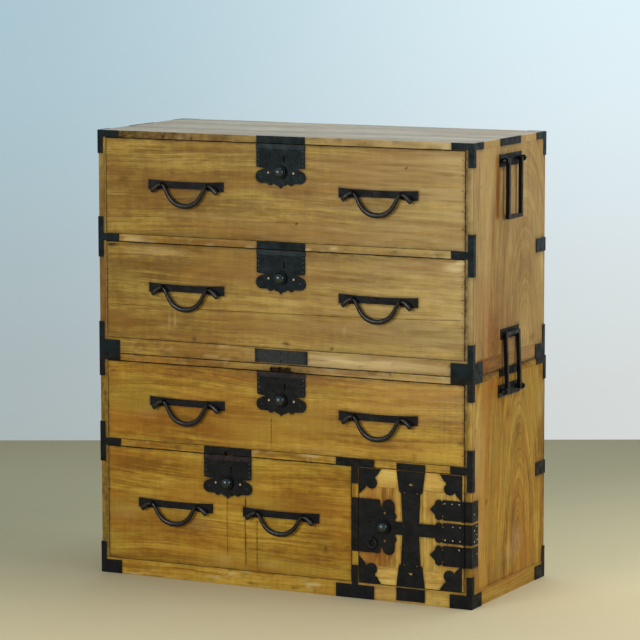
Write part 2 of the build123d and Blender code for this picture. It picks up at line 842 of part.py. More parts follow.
os.makedirs("parts", exist_ok=True)
for node, solids in nodes.items():
    export_step(Compound(label=node, children=solids), "parts/" + node + ".step")
print(len(nodes), "nodes")
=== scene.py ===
import itertools
import math
import random

import bmesh
import bpy
import numpy as np
from mathutils import Matrix, Vector
from mathutils.bvhtree import BVHTree


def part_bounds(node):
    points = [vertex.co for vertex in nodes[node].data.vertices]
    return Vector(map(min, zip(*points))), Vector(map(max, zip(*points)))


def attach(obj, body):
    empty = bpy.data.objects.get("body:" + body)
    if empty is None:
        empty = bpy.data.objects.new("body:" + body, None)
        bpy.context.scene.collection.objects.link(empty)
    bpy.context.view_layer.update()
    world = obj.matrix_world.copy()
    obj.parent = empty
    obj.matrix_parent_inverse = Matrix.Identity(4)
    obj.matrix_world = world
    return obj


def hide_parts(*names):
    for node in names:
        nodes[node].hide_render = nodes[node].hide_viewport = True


# Two-section isho clothing chest: worn boards, iron mounts, pulls, nails and locks around the
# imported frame. Metres, origin at the bottom centre of the case, +X right, +Y back, +Z up.
# Marks are measured in millimetres from the left edge of the front and from the floor, and on
# the right side from the front edge and from the floor.

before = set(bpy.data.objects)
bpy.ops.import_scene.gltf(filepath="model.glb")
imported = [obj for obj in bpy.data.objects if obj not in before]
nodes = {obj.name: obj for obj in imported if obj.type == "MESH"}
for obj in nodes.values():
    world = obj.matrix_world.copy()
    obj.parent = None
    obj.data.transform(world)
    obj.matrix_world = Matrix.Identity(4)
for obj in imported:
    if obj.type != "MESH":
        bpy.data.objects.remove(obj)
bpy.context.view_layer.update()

MM = 0.001
DRAWERS = ("drawer_1", "drawer_2", "drawer_3", "drawer_4")

case_low, case_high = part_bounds("lower_irons")
left_x = case_low.x
right_x = case_high.x
iron_front = case_low.y
seam_z = case_high.z
wood_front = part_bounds("drawer_1_front")[0].y
wood_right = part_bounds("lower_sides")[1].x
inner_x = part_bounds("lower_back_panel")[1].x
SIDE_THICKNESS = 18 * MM
BACK_BOARDS = 3


def front_x(distance):
    """Place on the front, from its distance in millimetres to the left edge."""
    return left_x + distance * MM


def side_y(distance):
    """Place on the side, from its distance in millimetres to the front edge."""
    return iron_front + distance * MM


# ---- noise for shapes and marks

def cell_value(cells, seed):
    """Fixed random number from 0 to 1 for each grid cell."""
    mixed = cells[:, 0] * 73856093 ^ cells[:, 1] * 19349663 ^ cells[:, 2] * 83492791 ^ seed * 40503
    mixed = (mixed & 0x7FFFFFFF) * 1274126177 & 0x7FFFFFFF
    mixed = (mixed ^ mixed >> 15) * 668265263 & 0x7FFFFFFF
    return (mixed ^ mixed >> 13 & 0xFFFFFF) % 65536 / 65535


def waves(points, scale, seed=0):
    """Smooth noise from -1 to 1 at many points; scale may differ along the three axes."""
    spots = points * np.array(scale) + 0.37 * seed
    base = np.floor(spots)
    part = spots - base
    part = part * part * (3 - 2 * part)
    cells = base.astype(np.int64)
    total = np.zeros(len(spots))
    for corner in itertools.product((0, 1), repeat=3):
        share = np.prod(np.where(corner, part, 1 - part), axis=1)
        total += share * cell_value(cells + corner, seed)
    return 2 * total - 1


def fall(distance, reach):
    """1 at no distance, falling to 0 at the reach, which is in millimetres."""
    return np.clip(1 - distance / (reach * MM), 0, 1)


def strongest(*fields):
    """The strongest of some marks at each point."""
    return np.maximum.reduce(fields)


def rise(value, low, high):
    """0 below the low value, 1 above the high one, smooth between them."""
    share = np.clip((value - low) / (high - low), 0, 1)
    return share * share * (3 - 2 * share)


# ---- stage, camera and lights

CAMERA_PLACE = (3.2725, -6.5159, 1.5327)
CAMERA_YAW = 26.70
CAMERA_PITCH = 7.50
CAMERA_ROLL = -0.08
CAMERA_LENS = 186.65
CAMERA_SENSOR = 36
CAMERA_REACH = 60
WALL_DISTANCE = 9.09
STAGE_SIZE = 14.0


def add_object(name, data):
    """New object in the scene."""
    made = bpy.data.objects.new(name, data)
    bpy.context.scene.collection.objects.link(made)
    return made


def view_direction():
    """Level direction in which the camera looks."""
    yaw = math.radians(CAMERA_YAW)
    return Vector((-math.sin(yaw), math.cos(yaw), 0))


def add_camera():
    """Camera at the photograph's viewing angle."""
    camera = bpy.data.cameras.new("camera")
    camera.lens = CAMERA_LENS
    camera.sensor_width = CAMERA_SENSOR
    camera.clip_end = CAMERA_REACH
    holder = add_object("camera", camera)
    holder.location = CAMERA_PLACE
    tilt = Matrix.Rotation(math.radians(90 - CAMERA_PITCH), 4, "X")
    turn = Matrix.Rotation(math.radians(CAMERA_YAW), 4, "Z")
    roll = Matrix.Rotation(math.radians(CAMERA_ROLL), 4, "Z")
    holder.rotation_euler = (turn @ tilt @ roll).to_euler()
    bpy.context.scene.camera = holder


def stage_plane(name, corners, material):
    """One flat piece of the stage."""
    mesh = bpy.data.meshes.new(name)
    mesh.from_pydata(corners, [], [range(len(corners))])
    mesh.materials.append(material)
    add_object(name, mesh)


def add_stage():
    """Floor and wall with painted light, at right angles to the view."""
    ahead = view_direction()
    across = Vector((ahead.y, -ahead.x, 0))
    foot = Vector((CAMERA_PLACE[0], CAMERA_PLACE[1], 0)) + ahead * WALL_DISTANCE
    left = foot - across * STAGE_SIZE / 2
    right = foot + across * STAGE_SIZE / 2
    up = Vector((0, 0, STAGE_SIZE / 2))
    near = -ahead * STAGE_SIZE
    stage_plane("stage_floor", [left + near, right + near, right, left], floor_material(across, ahead))
    stage_plane("stage_wall", [left, right, right + up, left + up], wall_material(across))


LAMPS = (
    # name, place, target, width, height, watts, colour
    ("lamp_front", (-1.5, -6.0, 2.2), (0.0, 0.0, 0.5), 3.0, 2.4, 190.0, (1.0, 0.985, 0.96)),
    ("lamp_right", (4.4, 0.2, 1.7), (0.3, 0.0, 0.5), 2.6, 2.0, 86.0, (1.0, 0.985, 0.96)),
    ("lamp_top", (0.2, 1.0, 3.2), (0.0, 0.1, 0.6), 2.4, 2.4, 36.0, (0.94, 0.98, 1.0)),
)
WORLD_COLOUR = (0.93, 0.97, 1.0, 1.0)
WORLD_STRENGTH = 0.42


def add_lamp(name, place, target, width, height, watts, colour):
    """Soft rectangular lamp that faces its target."""
    lamp = bpy.data.lights.new(name, "AREA")
    lamp.shape = "RECTANGLE"
    lamp.size = width
    lamp.size_y = height
    lamp.energy = watts
    lamp.color = colour
    holder = add_object(name, lamp)
    holder.location = place
    aim = Vector(target) - Vector(place)
    holder.rotation_euler = aim.to_track_quat("-Z", "Y").to_euler()


def add_lights():
    """Soft studio light: three large lamps and an even world."""
    for lamp in LAMPS:
        add_lamp(*lamp)
    world = bpy.data.worlds.new("studio")
    bpy.context.scene.world = world
    world.use_nodes = True
    background = world.node_tree.nodes["Background"]
    background.inputs["Color"].default_value = WORLD_COLOUR
    background.inputs["Strength"].default_value = WORLD_STRENGTH
    bpy.context.scene.view_settings.view_transform = "Standard"


# ---- materials

def srgb(red, green, blue):
    """Colour of an 8-bit screen value, as the renderer reads it."""
    def linear(value):
        share = value / 255
        return share / 12.92 if share <= 0.04045 else ((share + 0.055) / 1.055) ** 2.4
    return (linear(red), linear(green), linear(blue), 1.0)


class Shader:
    """A node material, built up by short calls."""

    def __init__(self, name):
        self.material = bpy.data.materials.new(name)
        self.material.use_nodes = True
        self.tree = self.material.node_tree
        self.surface = self.tree.nodes["Principled BSDF"]

    def feed(self, socket, value):
        """Link a socket's source, or set its value."""
        if isinstance(value, bpy.types.NodeSocket):
            self.tree.links.new(value, socket)
        else:
            socket.default_value = value

    def node(self, kind, inputs, **settings):
        """New node with its settings and inputs."""
        made = self.tree.nodes.new("ShaderNode" + kind)
        for key, value in settings.items():
            setattr(made, key, value)
        for socket, value in inputs.items():
            self.feed(made.inputs[socket], value)
        return made

    def attribute(self, name, output="Vector"):
        """Attribute of the mesh."""
        return self.node("Attribute", {}, attribute_name=name).outputs[output]

    def places(self):
        """Place on the piece at rest."""
        return self.node("TexCoord", {}).outputs["Object"]

    def math(self, operation, first, second=0.0, clamp=False):
        """Sum, product or other result of two numbers."""
        return self.node("Math", {0: first, 1: second}, operation=operation, use_clamp=clamp).outputs[0]

    def total(self, first, *others):
        """Sum of several numbers."""
        for other in others:
            first = self.math("ADD", first, other)
        return first

    def times(self, first, second):
        """Product of two numbers."""
        return self.math("MULTIPLY", first, second)

    def swing(self, value, amount):
        """How far a noise lies from its middle, times the amount."""
        return self.times(self.math("SUBTRACT", value, 0.5), amount)

    def split(self, vector):
        """The three numbers of a vector."""
        return self.node("SeparateXYZ", {0: vector}).outputs

    def join(self, x, y, z):
        """Vector of three numbers."""
        return self.node("CombineXYZ", {0: x, 1: y, 2: z}).outputs[0]

    def vector(self, operation, first, second):
        """Result of two vectors, which is a number for a dot product and for a distance."""
        outputs = self.node("VectorMath", {0: first, 1: second}, operation=operation).outputs
        return outputs["Value" if operation in ("DOT_PRODUCT", "DISTANCE") else "Vector"]

    def noise(self, vector, scale=1.0, detail=2.0, roughness=0.5):
        """Smooth noise from 0 to 1. Three scales stand for the three axes."""
        if isinstance(scale, tuple):
            vector, scale = self.vector("MULTIPLY", vector, scale), 1.0
        inputs = {"Vector": vector, "Scale": scale, "Detail": detail, "Roughness": roughness}
        return self.node("TexNoise", inputs).outputs[0]

    def span(self, value, low, high, start=0.0, end=1.0):
        """Value carried from one range to another, and kept inside it."""
        inputs = {0: value, 1: low, 2: high, 3: start, 4: end}
        return self.node("MapRange", inputs, interpolation_type="SMOOTHSTEP").outputs[0]

    def ramp(self, value, stops):
        """Colour from a row of stops."""
        made = self.node("ValToRGB", {0: value})
        elements = made.color_ramp.elements
        while len(elements) < len(stops):
            elements.new(0.5)
        for element, (place, colour) in zip(elements, stops):
            element.position = place
            element.color = colour
        return made.outputs[0]

    def blend(self, share, first, second, kind="MIX"):
        """Two colours mixed."""
        inputs = {0: share, 6: first, 7: second}
        return self.node("Mix", inputs, data_type="RGBA", blend_type=kind).outputs[2]

    def bump(self, height, depth, strength=1.0):
        """Fine relief of the surface."""
        made = self.node("Bump", {"Height": height, "Distance": depth, "Strength": strength})
        self.feed(self.surface.inputs["Normal"], made.outputs[0])

    def gloss(self, level, metallic=0.0):
        """How much the surface mirrors."""
        self.surface.inputs["Specular IOR Level"].default_value = level
        self.surface.inputs["Metallic"].default_value = metallic

    def finish(self, colour, roughness):
        """Colour and roughness of the surface."""
        self.feed(self.surface.inputs["Base Color"], colour)
        self.feed(self.surface.inputs["Roughness"], roughness)
        return self.material


def floor_material(across, ahead):
    """Matt floor with painted light: paler towards the right and the front of the view."""
    s = Shader("stage_floor")
    side = s.times(s.vector("DOT_PRODUCT", s.places(), across), 0.30)
    depth = s.times(s.vector("DOT_PRODUCT", s.places(), ahead), -0.54)
    share = s.span(s.total(side, depth), -0.65, 0.35)
    s.gloss(0.1)
    return s.finish(s.blend(share, srgb(160, 155, 129), srgb(216, 202, 164)), 0.9)


def wall_material(across):
    """Matt wall with painted light, paler to the right and bluer above, which glows in that colour for the
    rays that see it.
    It is clear from behind, so that the chest's back can be seen."""
    s = Shader("stage_wall")
    place = s.places()
    side = s.span(s.vector("DOT_PRODUCT", place, across), -1.0, 1.0)
    height = s.span(s.split(place)[2], -0.1, 1.3)
    low = s.blend(side, srgb(169, 180, 181), srgb(213, 216, 214))
    high = s.blend(side, srgb(172, 199, 210), srgb(225, 243, 250))
    colour = s.blend(height, low, high)
    s.gloss(0.1)
    s.finish(colour, 0.9)
    rays = s.node("LightPath", {}).outputs
    seen = s.total(rays["Is Camera Ray"], rays["Is Glossy Ray"])
    seen = s.math("ADD", seen, rays["Is Transmission Ray"], clamp=True)
    glow = s.node("Emission", {"Color": colour, "Strength": 1.0}).outputs[0]
    mixed = s.node("MixShader", {0: seen, 1: s.surface.outputs[0], 2: glow}).outputs[0]
    clear = s.node("BsdfTransparent", {}).outputs[0]
    behind = s.node("NewGeometry", {}).outputs["Backfacing"]
    either = s.node("MixShader", {0: behind, 1: mixed, 2: clear}).outputs[0]
    s.feed(s.tree.nodes["Material Output"].inputs["Surface"], either)
    return s.material


# how far the growth rings lean into a board, the distance between its arches, and how strong
# its patches and veins are
RING_TILT = 0.55
RING_SPACING = 0.0075
PATCH_STRENGTH = 0.62
VEIN_STRENGTH = 0.34


def wood_rings(s, grain, pith):
    """Distance from a board's pith, bent by slow and quick noise, so that its bands sway."""
    along, across, depth = s.split(grain)[:3]
    pith_along, pith_across, pith_slope = s.split(pith)[:3]
    sway = s.swing(s.noise(grain, (1.6, 5.0, 2.0), 1.0), 0.060)
    tremble = s.swing(s.noise(grain, (9.0, 26.0, 9.0)), 0.010)
    through = s.total(across, s.times(depth, RING_TILT), sway, tremble)
    sideways = s.math("SUBTRACT", through, pith_across)
    forward = s.times(s.math("SUBTRACT", along, pith_along), pith_slope)
    squares = s.math("ADD", s.math("POWER", sideways, 2.0), s.math("POWER", forward, 2.0))
    return along, s.math("SQRT", squares)


def wood_material(name, *colours, broad=0.95, arcs=0.10, ripple=0.06, rough=0.52, gloss=0.14):
    """Aged board: growth bands, lines, fibres, patches, flecks and the marks of use."""
    dark, middle, light, warm, cool = [srgb(*colour) for colour in colours]
    s = Shader(name)
    grain = s.attribute("grain")
    marks = s.node("SeparateColor", {0: s.attribute("marks", "Color")}).outputs
    along, ring = wood_rings(s, grain, s.attribute("pith"))

    def figure(stretch, quick, shift, detail=2.0):
        """Noise drawn out along the grain and quick across the rings."""
        return s.noise(s.join(s.times(along, stretch), s.times(ring, quick), shift), detail=detail)

    def patches(shift, low):
        """Soft long patches of another colour."""
        field = s.noise(s.vector("ADD", grain, shift), (3.4, 12.0, 5.0), 3.0)
        return s.times(s.span(field, low, low + 0.22), PATCH_STRENGTH)

    def lines(field, near, far, where, strength):
        """Thin dark lines where a field crosses its middle, broken off here and there."""
        off = s.math("ABSOLUTE", s.math("SUBTRACT", field, 0.5))
        return s.times(s.times(s.span(off, near, far, 1.0, 0.0), where), strength)

    wide = figure(1.0, 26.0, 0.3, 1.5)
    bands = figure(1.8, 90.0, 5.1)
    fine = figure(5.0, 300.0, 9.7)
    fibres = s.noise(grain, (22.0, 900.0, 300.0), 1.5)
    cloud = s.noise(grain, (5.0, 15.0, 6.0), 3.0)
    mottle = s.noise(grain, (34.0, 85.0, 40.0), 4.0, 0.62)
    large = s.total(0.5, s.swing(wide, broad), s.swing(bands, 0.70), s.swing(cloud, 0.90))
    tone = s.total(large, s.swing(fine, 0.85), s.swing(fibres, 0.55), s.swing(mottle, 0.75))
    colour = s.ramp(tone, [(0.20, dark), (0.5, middle), (0.80, light)])
    colour = s.blend(patches((2.3, 0.7, 1.1), 0.44), colour, warm)
    colour = s.blend(patches((3.1, 7.7, 1.3), 0.50), colour, cool)
    shimmer = s.span(s.noise(grain, (95.0, 9.0, 6.0), 3.0), 0.32, 0.7, 1.0 - ripple, 1.0 + ripple)
    colour = s.blend(1.0, colour, s.join(shimmer, shimmer, shimmer), "MULTIPLY")
    where = s.span(figure(3.5, 30.0, 6.4), 0.42, 0.62)
    veins = lines(figure(1.9, 62.0, 2.2), 0.003, 0.015, where, VEIN_STRENGTH)
    turns = s.math("FRACT", s.times(ring, 1.0 / RING_SPACING))
    where = s.span(figure(2.5, 12.0, 3.9), 0.36, 0.60)
    arches = lines(turns, 0.0, 0.17, where, arcs)
    both = s.math("MAXIMUM", veins, arches)
    colour = s.blend(both, colour, dark)
    flecks = s.span(s.noise(grain, (60.0, 380.0, 200.0), 1.0), 0.70, 0.78)
    colour = s.blend(s.times(flecks, 0.45), colour, srgb(66, 42, 18))
    height = s.total(s.times(fine, 0.5), s.times(fibres, 0.35), s.times(both, -0.4), s.times(flecks, -0.6))
    s.bump(height, 0.0004, 0.7)
    s.gloss(gloss)
    worn = s.span(wide, 0.3, 0.7, rough + 0.07, rough - 0.05)
    return s.finish(wood_marks(s, grain, colour, marks), s.total(worn, s.times(marks[0], 0.16)))


def wood_marks(s, grain, colour, marks):
    """Dark dirt and painted shade, pale worn wood and painted sheen, and amber varnish over a board's own
    colour.
    """
    dirt, pale, amber = marks[:3]
    broken = s.span(s.noise(grain, (60.0, 150.0, 90.0), 4.0, 0.65), 0.25, 0.7, 0.55, 1.25)
    streaks = s.span(s.noise(grain, (9.0, 120.0, 40.0), 3.0), 0.3, 0.7, 0.6, 1.3)
    amber = s.math("MULTIPLY", amber, broken, clamp=True)
    colour = s.blend(amber, colour, s.blend(1.0, colour, srgb(226, 178, 112), "MULTIPLY"))
    colour = s.blend(s.math("MULTIPLY", pale, streaks, clamp=True), colour, srgb(206, 184, 134))
    shallow = s.math("MULTIPLY", dirt, broken, clamp=True)
    # dirt near 1 turns almost black: painted shade inside holes and notches
    deep = s.span(dirt, 0.90, 1.0, 0.0, 0.96)
    return s.blend(s.math("MAXIMUM", shallow, deep), colour, srgb(40, 26, 13))


def raw_wood_material(name, dark, light, order):
    """Plain aged board of a node that keeps its own mesh: order picks the grain's direction."""
    s = Shader(name)
    turned = s.split(s.places())
    grain = s.join(*[turned[axis] for axis in order])
    bands = s.noise(grain, (1.6, 70.0, 24.0), 4.0, 0.6)
    fibres = s.noise(grain, (18.0, 900.0, 300.0))
    stains = s.noise(grain, (7.0, 12.0, 9.0), 4.0, 0.6)
    tone = s.total(s.times(bands, 0.45), s.times(fibres, 0.25), s.times(stains, 0.3))
    s.bump(tone, 0.0003, 0.5)
    s.gloss(0.2)
    colour = s.ramp(tone, [(0.36, srgb(*dark)), (0.64, srgb(*light))])
    return s.finish(colour, s.span(bands, 0.3, 0.7, 0.66, 0.55))


def iron_material(name, dark, light, rust, rough, relief, level, tint=(1, 1, 1, 1), worn=None):
    """Black oxidised iron with uneven scale, rubbed flecks and a little rust. The worn place is paler."""
    s = Shader(name)
    place = s.places()
    scale = s.noise(place, 42.0, 5.0, 0.62)
    fine = s.noise(place, 300.0, 4.0, 0.65)
    middle = [(a + b) // 2 for a, b in zip(dark, light)]
    stops = [(0.38, srgb(*dark)), (0.52, srgb(*middle)), (0.66, srgb(*light))]
    colour = s.ramp(s.total(s.times(scale, 0.6), s.times(fine, 0.4)), stops)
    rusty = s.span(s.noise(place, 75.0, 6.0, 0.7), 0.54, 0.72)
    colour = s.blend(s.times(rusty, 0.5), colour, srgb(*rust))
    rubbed = s.span(s.noise(s.vector("ADD", place, (1.3, 0.2, 0.6)), 170.0, 5.0, 0.7), 0.60, 0.74)
    colour = s.blend(s.times(rubbed, 0.45), colour, srgb(64, 64, 62))
    if worn:
        near = s.span(s.vector("DISTANCE", place, worn), 0.050, 0.068, 1.0, 0.0)
        colour = s.blend(s.times(near, s.span(fine, 0.35, 0.65, 0.50, 1.0)), colour, srgb(53, 53, 51))
    s.bump(s.total(s.noise(place, 85.0, 3.0), s.times(fine, 0.35)), relief, 1.0)
    s.gloss(level)
    s.surface.inputs["Specular Tint"].default_value = tint
    return s.finish(colour, s.span(scale, 0.3, 0.7, rough + 0.14, rough - 0.10))


def bright_iron_material():
    """Bare metal of nail heads that have been rubbed bright."""
    s = Shader("bright_iron")
    worn = s.noise(s.places(), 900.0, 3.0, 0.6)
    s.gloss(0.5, metallic=1.0)
    s.bump(worn, 0.0002, 0.5)
    colour = s.ramp(worn, [(0.35, srgb(170, 165, 156)), (0.65, srgb(245, 242, 234))])
    return s.finish(colour, s.span(worn, 0.3, 0.7, 0.42, 0.28))


# each wood: dark, middle and light bands, warm patches, cool patches
front_wood = wood_material(
    "front_wood", (124, 84, 18), (158, 121, 34), (188, 153, 58),
    (152, 98, 22), (164, 136, 48))
# upper_front_wood is darker and greyer than front_wood; its darkness is painted shade for the upper fronts,
# which the lamps light more
upper_front_wood = wood_material(
    "upper_front_wood", (108, 75, 24), (140, 110, 42), (174, 144, 66),
    (136, 92, 30), (150, 126, 56))
upper_side_wood = wood_material(
    "upper_side_wood", (118, 84, 38), (145, 113, 56), (166, 136, 76),
    (150, 102, 54), (142, 118, 70), ripple=0.03, arcs=0.55)
lower_side_wood = wood_material(
    "lower_side_wood", (116, 76, 22), (158, 120, 40), (182, 149, 62),
    (160, 106, 34), (152, 124, 50), ripple=0.03, arcs=0.62)
# top_wood's pale grey is partly painted sheen of the top under light from above
top_wood = wood_material(
    "top_wood", (128, 112, 92), (162, 148, 126), (186, 174, 152),
    (158, 130, 102), (150, 144, 130), rough=0.46, gloss=0.22, broad=0.6)
door_wood = wood_material(
    "door_wood", (142, 104, 42), (186, 154, 72), (208, 180, 96),
    (180, 132, 54), (190, 164, 80), ripple=0.02, arcs=0.3)
cleat_wood = wood_material(
    "cleat_wood", (152, 113, 50), (198, 164, 82), (218, 188, 104),
    (186, 138, 56), (192, 162, 80), ripple=0.03)
back_wood = wood_material(
    "back_wood", (92, 66, 40), (126, 96, 62), (150, 120, 84),
    (118, 82, 50), (112, 98, 76), rough=0.62)
box_wood = raw_wood_material("box_wood", (146, 118, 80), (182, 156, 114), (1, 2, 0))
bare_wood = raw_wood_material("bare_wood", (164, 146, 112), (214, 200, 168), (0, 2, 1))
FRONT_WOODS = {"upper": upper_front_wood, "lower": front_wood}
SIDE_WOODS = {"upper": upper_side_wood, "lower": lower_side_wood}

label_middle = (0.0, iron_front, seam_z + 17 * MM)
BLUE_GLOSS = (0.74, 0.93, 1.0, 1.0)
sheet_iron = iron_material("sheet_iron", (5, 6, 8), (26, 28, 30), (34, 27, 22), 0.48, 0.0008, 0.13)
upper_iron = iron_material(
    "upper_iron", (3, 7, 9), (22, 32, 36), (30, 28, 27), 0.44, 0.0009, 0.15, BLUE_GLOSS, label_middle)
# the paler bluish lip iron of the upper locks is a painted highlight along their fold
upper_lip_sheen_iron = iron_material(
    "upper_lip_sheen_iron", (10, 15, 18), (38, 48, 52), (46, 39, 37), 0.40, 0.0009, 0.24, BLUE_GLOSS)
lip_iron = iron_material("lip_iron", (18, 15, 17), (56, 46, 48), (70, 48, 38), 0.50, 0.0008, 0.16)
forged_iron = iron_material("forged_iron", (11, 11, 12), (26, 25, 25), (40, 32, 27), 0.30, 0.0003, 0.34)
bail_iron = iron_material("bail_iron", (10, 9, 9), (24, 22, 21), (40, 30, 26), 0.44, 0.0003, 0.22)
knob_iron = iron_material(
    "knob_iron", (3, 6, 8), (12, 18, 22), (18, 17, 18), 0.26, 0.0001, 0.9, BLUE_GLOSS)
bright_iron = bright_iron_material()


# ---- pieces

DIRECTIONS = {
    "front": Vector((0, -1, 0)), "back": Vector((0, 1, 0)), "top": Vector((0, 0, 1)),
    "left": Vector((-1, 0, 0)), "right": Vector((1, 0, 0)),
}
FRONT = DIRECTIONS["front"]


def put(name, mesh, material, body, slot, *replaced, edges=()):
    """Add a finished mesh as a piece that rides on a body. Edges pairs face directions with finishes."""
    mesh.materials.append(material)
    for number, (direction, finish) in enumerate(edges, 1):
        mesh.materials.append(finish)
        for face in mesh.polygons:
            if face.normal.dot(DIRECTIONS[direction]) > 0.8:
                face.material_index = number
    piece = add_object(name, mesh)
    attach(piece, body)
    if replaced:
        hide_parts(*replaced)
    return piece


def solid_boxes(node):
    """Lowest and highest corner of each separate solid in a node, left to right and upwards."""
    made = bmesh.new()
    made.from_mesh(nodes[node].data)
    bmesh.ops.remove_doubles(made, verts=made.verts, dist=0.01 * MM)
    waiting = set(made.verts)
    boxes = []
    while waiting:
        first = waiting.pop()
        island = {first}
        edge = [first]
        while edge:
            for link in edge.pop().link_edges:
                for vertex in link.verts:
                    if vertex not in island:
                        island.add(vertex)
                        edge.append(vertex)
        waiting -= island
        places = np.array([vertex.co for vertex in island])
        boxes.append((Vector(places.min(0)), Vector(places.max(0))))
    made.free()
    return sorted(boxes, key=lambda box: (round(box[0].x, 4), round(box[0].z, 4), round(box[0].y, 4)))


def part_of(box, **limits):
    """Part of a box, with some of its limits changed: x0, x1, y0, y1, z0 or z1."""
    low, high = box[0].copy(), box[1].copy()
    for key, value in limits.items():
        corner = low if key[1] == "0" else high
        corner["xyz".index(key[0])] = value
    return low, high


# ---- boards

# width of a board's edge that can wear, and how far a crack bends the mesh lines beside it
EDGE = 0.9 * MM
BEND_REACH = 26 * MM


def mesh_lines(low, high, step, cracks=()):
    """Places of a board's mesh lines along one axis, closer at its edges and its cracks."""
    close = [0, 0.35 * EDGE, EDGE, 2 * EDGE]
    count = max(1, round((high - low - 4 * EDGE) / step))
    gap = (high - low - 4 * EDGE) / count
    inner = [low + 2 * EDGE + gap * i for i in range(1, count)]
    added = []
    for crack in cracks:
        added += [crack.at + crack.width * share for share in (-1.2, -0.5, 0, 0.5, 1.2)]
    inner = [place for place in inner if all(abs(place - other) > 0.3 * gap for other in added)]
    ends = [low + d for d in close] + [high - d for d in close]
    return sorted(ends + inner + added)


def lattice_box(xs, ys, zs):
    """Closed box mesh whose faces carry the given lines."""
    index = {}
    places = []
    quads = []

    def corner(i, j, k):
        if (i, j, k) not in index:
            index[i, j, k] = len(places)
            places.append((xs[i], ys[j], zs[k]))
        return index[i, j, k]

    def quad(*corners):
        quads.append([corner(*each) for each in corners])

    nx, ny, nz = len(xs) - 1, len(ys) - 1, len(zs) - 1
    for i in range(nx):
        for k in range(nz):
            quad((i, 0, k), (i + 1, 0, k), (i + 1, 0, k + 1), (i, 0, k + 1))
            quad((i, ny, k), (i, ny, k + 1), (i + 1, ny, k + 1), (i + 1, ny, k))
        for j in range(ny):
            quad((i, j, 0), (i, j + 1, 0), (i + 1, j + 1, 0), (i + 1, j, 0))
            quad((i, j, nz), (i + 1, j, nz), (i + 1, j + 1, nz), (i, j + 1, nz))
    for j in range(ny):
        for k in range(nz):
            quad((0, j, k), (0, j, k + 1), (0, j + 1, k + 1), (0, j + 1, k))
            quad((nx, j, k), (nx, j + 1, k), (nx, j + 1, k + 1), (nx, j, k + 1))
    return np.array(places), quads


class Crack:
    """Groove or dark line along one axis of a board's face.

    Its place across and its ends are in metres, and its width, depth, wobble and drift in millimetres.
    """

    def __init__(self, at, start, end, width=0.35, depth=2.2, wobble=1.2, drift=0.0, dark=0.7):
        self.at = at
        self.start = start
        self.end = end
        self.width = width * MM
        self.depth = depth * MM
        self.wobble = wobble * MM
        self.drift = drift * MM
        self.dark = dark

    def line(self, along, row):
        """Points to read noise at, one for each place along the groove."""
        return np.stack([along, np.full(len(along), self.at * 90), np.full(len(along), row)], 1)

    def shift(self, along):
        """How far the groove lies from its straight line."""
        share = (along - self.start) / (self.end - self.start)
        waver = waves(self.line(along, 0.5), (26, 1, 1)) + 0.4 * waves(self.line(along, 3.5), (110, 1, 1))
        return 0.7 * self.wobble * waver + self.drift * np.maximum(0.0, share) ** 3

    def open(self, along):
        """How open the groove is, from 0 to 1, fading towards its ends."""
        inside = np.minimum(along - self.start, self.end - along)
        fade = np.clip(inside / (12 * MM), 0, 1)
        return fade * (0.7 + 0.3 * waves(self.line(along, 7.5), (40, 1, 1)))


def groove(places, crack, along_axis, across_axis, depth_axis, face, inwards):
    """Bend the mesh lines near a crack along it and press its middle line in."""
    off = places[:, across_axis] - crack.at
    along = places[:, along_axis]
    bend = np.cos(np.clip(np.abs(off) / BEND_REACH, 0, 1) * math.pi / 2) ** 2
    places[:, across_axis] += crack.shift(along) * bend
    near = (np.abs(places[:, depth_axis] - face) < 1.5 * EDGE) & (np.abs(off) < 0.8 * crack.width)
    share = np.where(np.abs(off) < 0.2 * crack.width, 1.0, 0.45)
    places[:, depth_axis] += near * inwards * crack.depth * share * crack.open(along)


def crack_dirt(places, crack, along_axis, across_axis):
    """Darkness that a crack leaves at each point."""
    along = places[:, along_axis]
    off = np.abs(places[:, across_axis] - crack.at - crack.shift(along))
    return crack.dark * crack.open(along) * np.clip(1.5 - off / (0.9 * crack.width), 0, 1)


def wear_edges(places, low, high, radius, seed):
    """Round the edges of a box by an uneven radius."""
    waver = waves(places, 23, seed)
    chips = np.maximum(0.0, waves(places, 70, seed + 1) - 0.35)
    r = radius * (0.85 + 0.35 * waver + 1.1 * chips)[:, None]
    inner = np.clip(places, np.array(low) + r, np.array(high) - r)
    off = places - inner
    distance = np.linalg.norm(off, axis=1)[:, None]
    return np.where(distance > r, inner + off * (r / np.maximum(distance, 1e-9)), places)


def sink_face(places, axis, face, inwards, depth, seed):
    """Let one face of a board sink by slow uneven waves."""
    on_face = np.abs(places[:, axis] - face) < 1.2 * EDGE
    uneven = 0.5 + 0.35 * waves(places, 6, seed) + 0.12 * waves(places, 28, seed + 1)
    places[:, axis] += on_face * inwards * depth * uneven


def board_mesh(name, places, quads):
    """Mesh of a board, smooth over its gentle waves."""
    mesh = bpy.data.meshes.new(name)
    mesh.from_pydata([tuple(place) for place in places], [], quads)
    mesh.shade_smooth()
    return mesh


def cut(mesh, cutters):
    """Take closed meshes out of a mesh."""
    target = add_object("cut_target", mesh)
    tools = [add_object("cut_tool", cutter) for cutter in cutters]
    for tool in tools:
        step = target.modifiers.new("cut", "BOOLEAN")
        step.object = tool
        step.solver = "EXACT"
    bpy.context.view_layer.update()
    shaped = target.evaluated_get(bpy.context.evaluated_depsgraph_get())
    result = bpy.data.meshes.new_from_object(shaped)
    result.name = mesh.name
    for old in [target, *tools]:
        bpy.data.objects.remove(old)
    return result


def places_of(mesh):
    """All points of a mesh."""
    places = np.zeros(len(mesh.vertices) * 3, np.float32)
    mesh.vertices.foreach_get("co", places)
    return places.reshape(-1, 3).astype(np.float64)


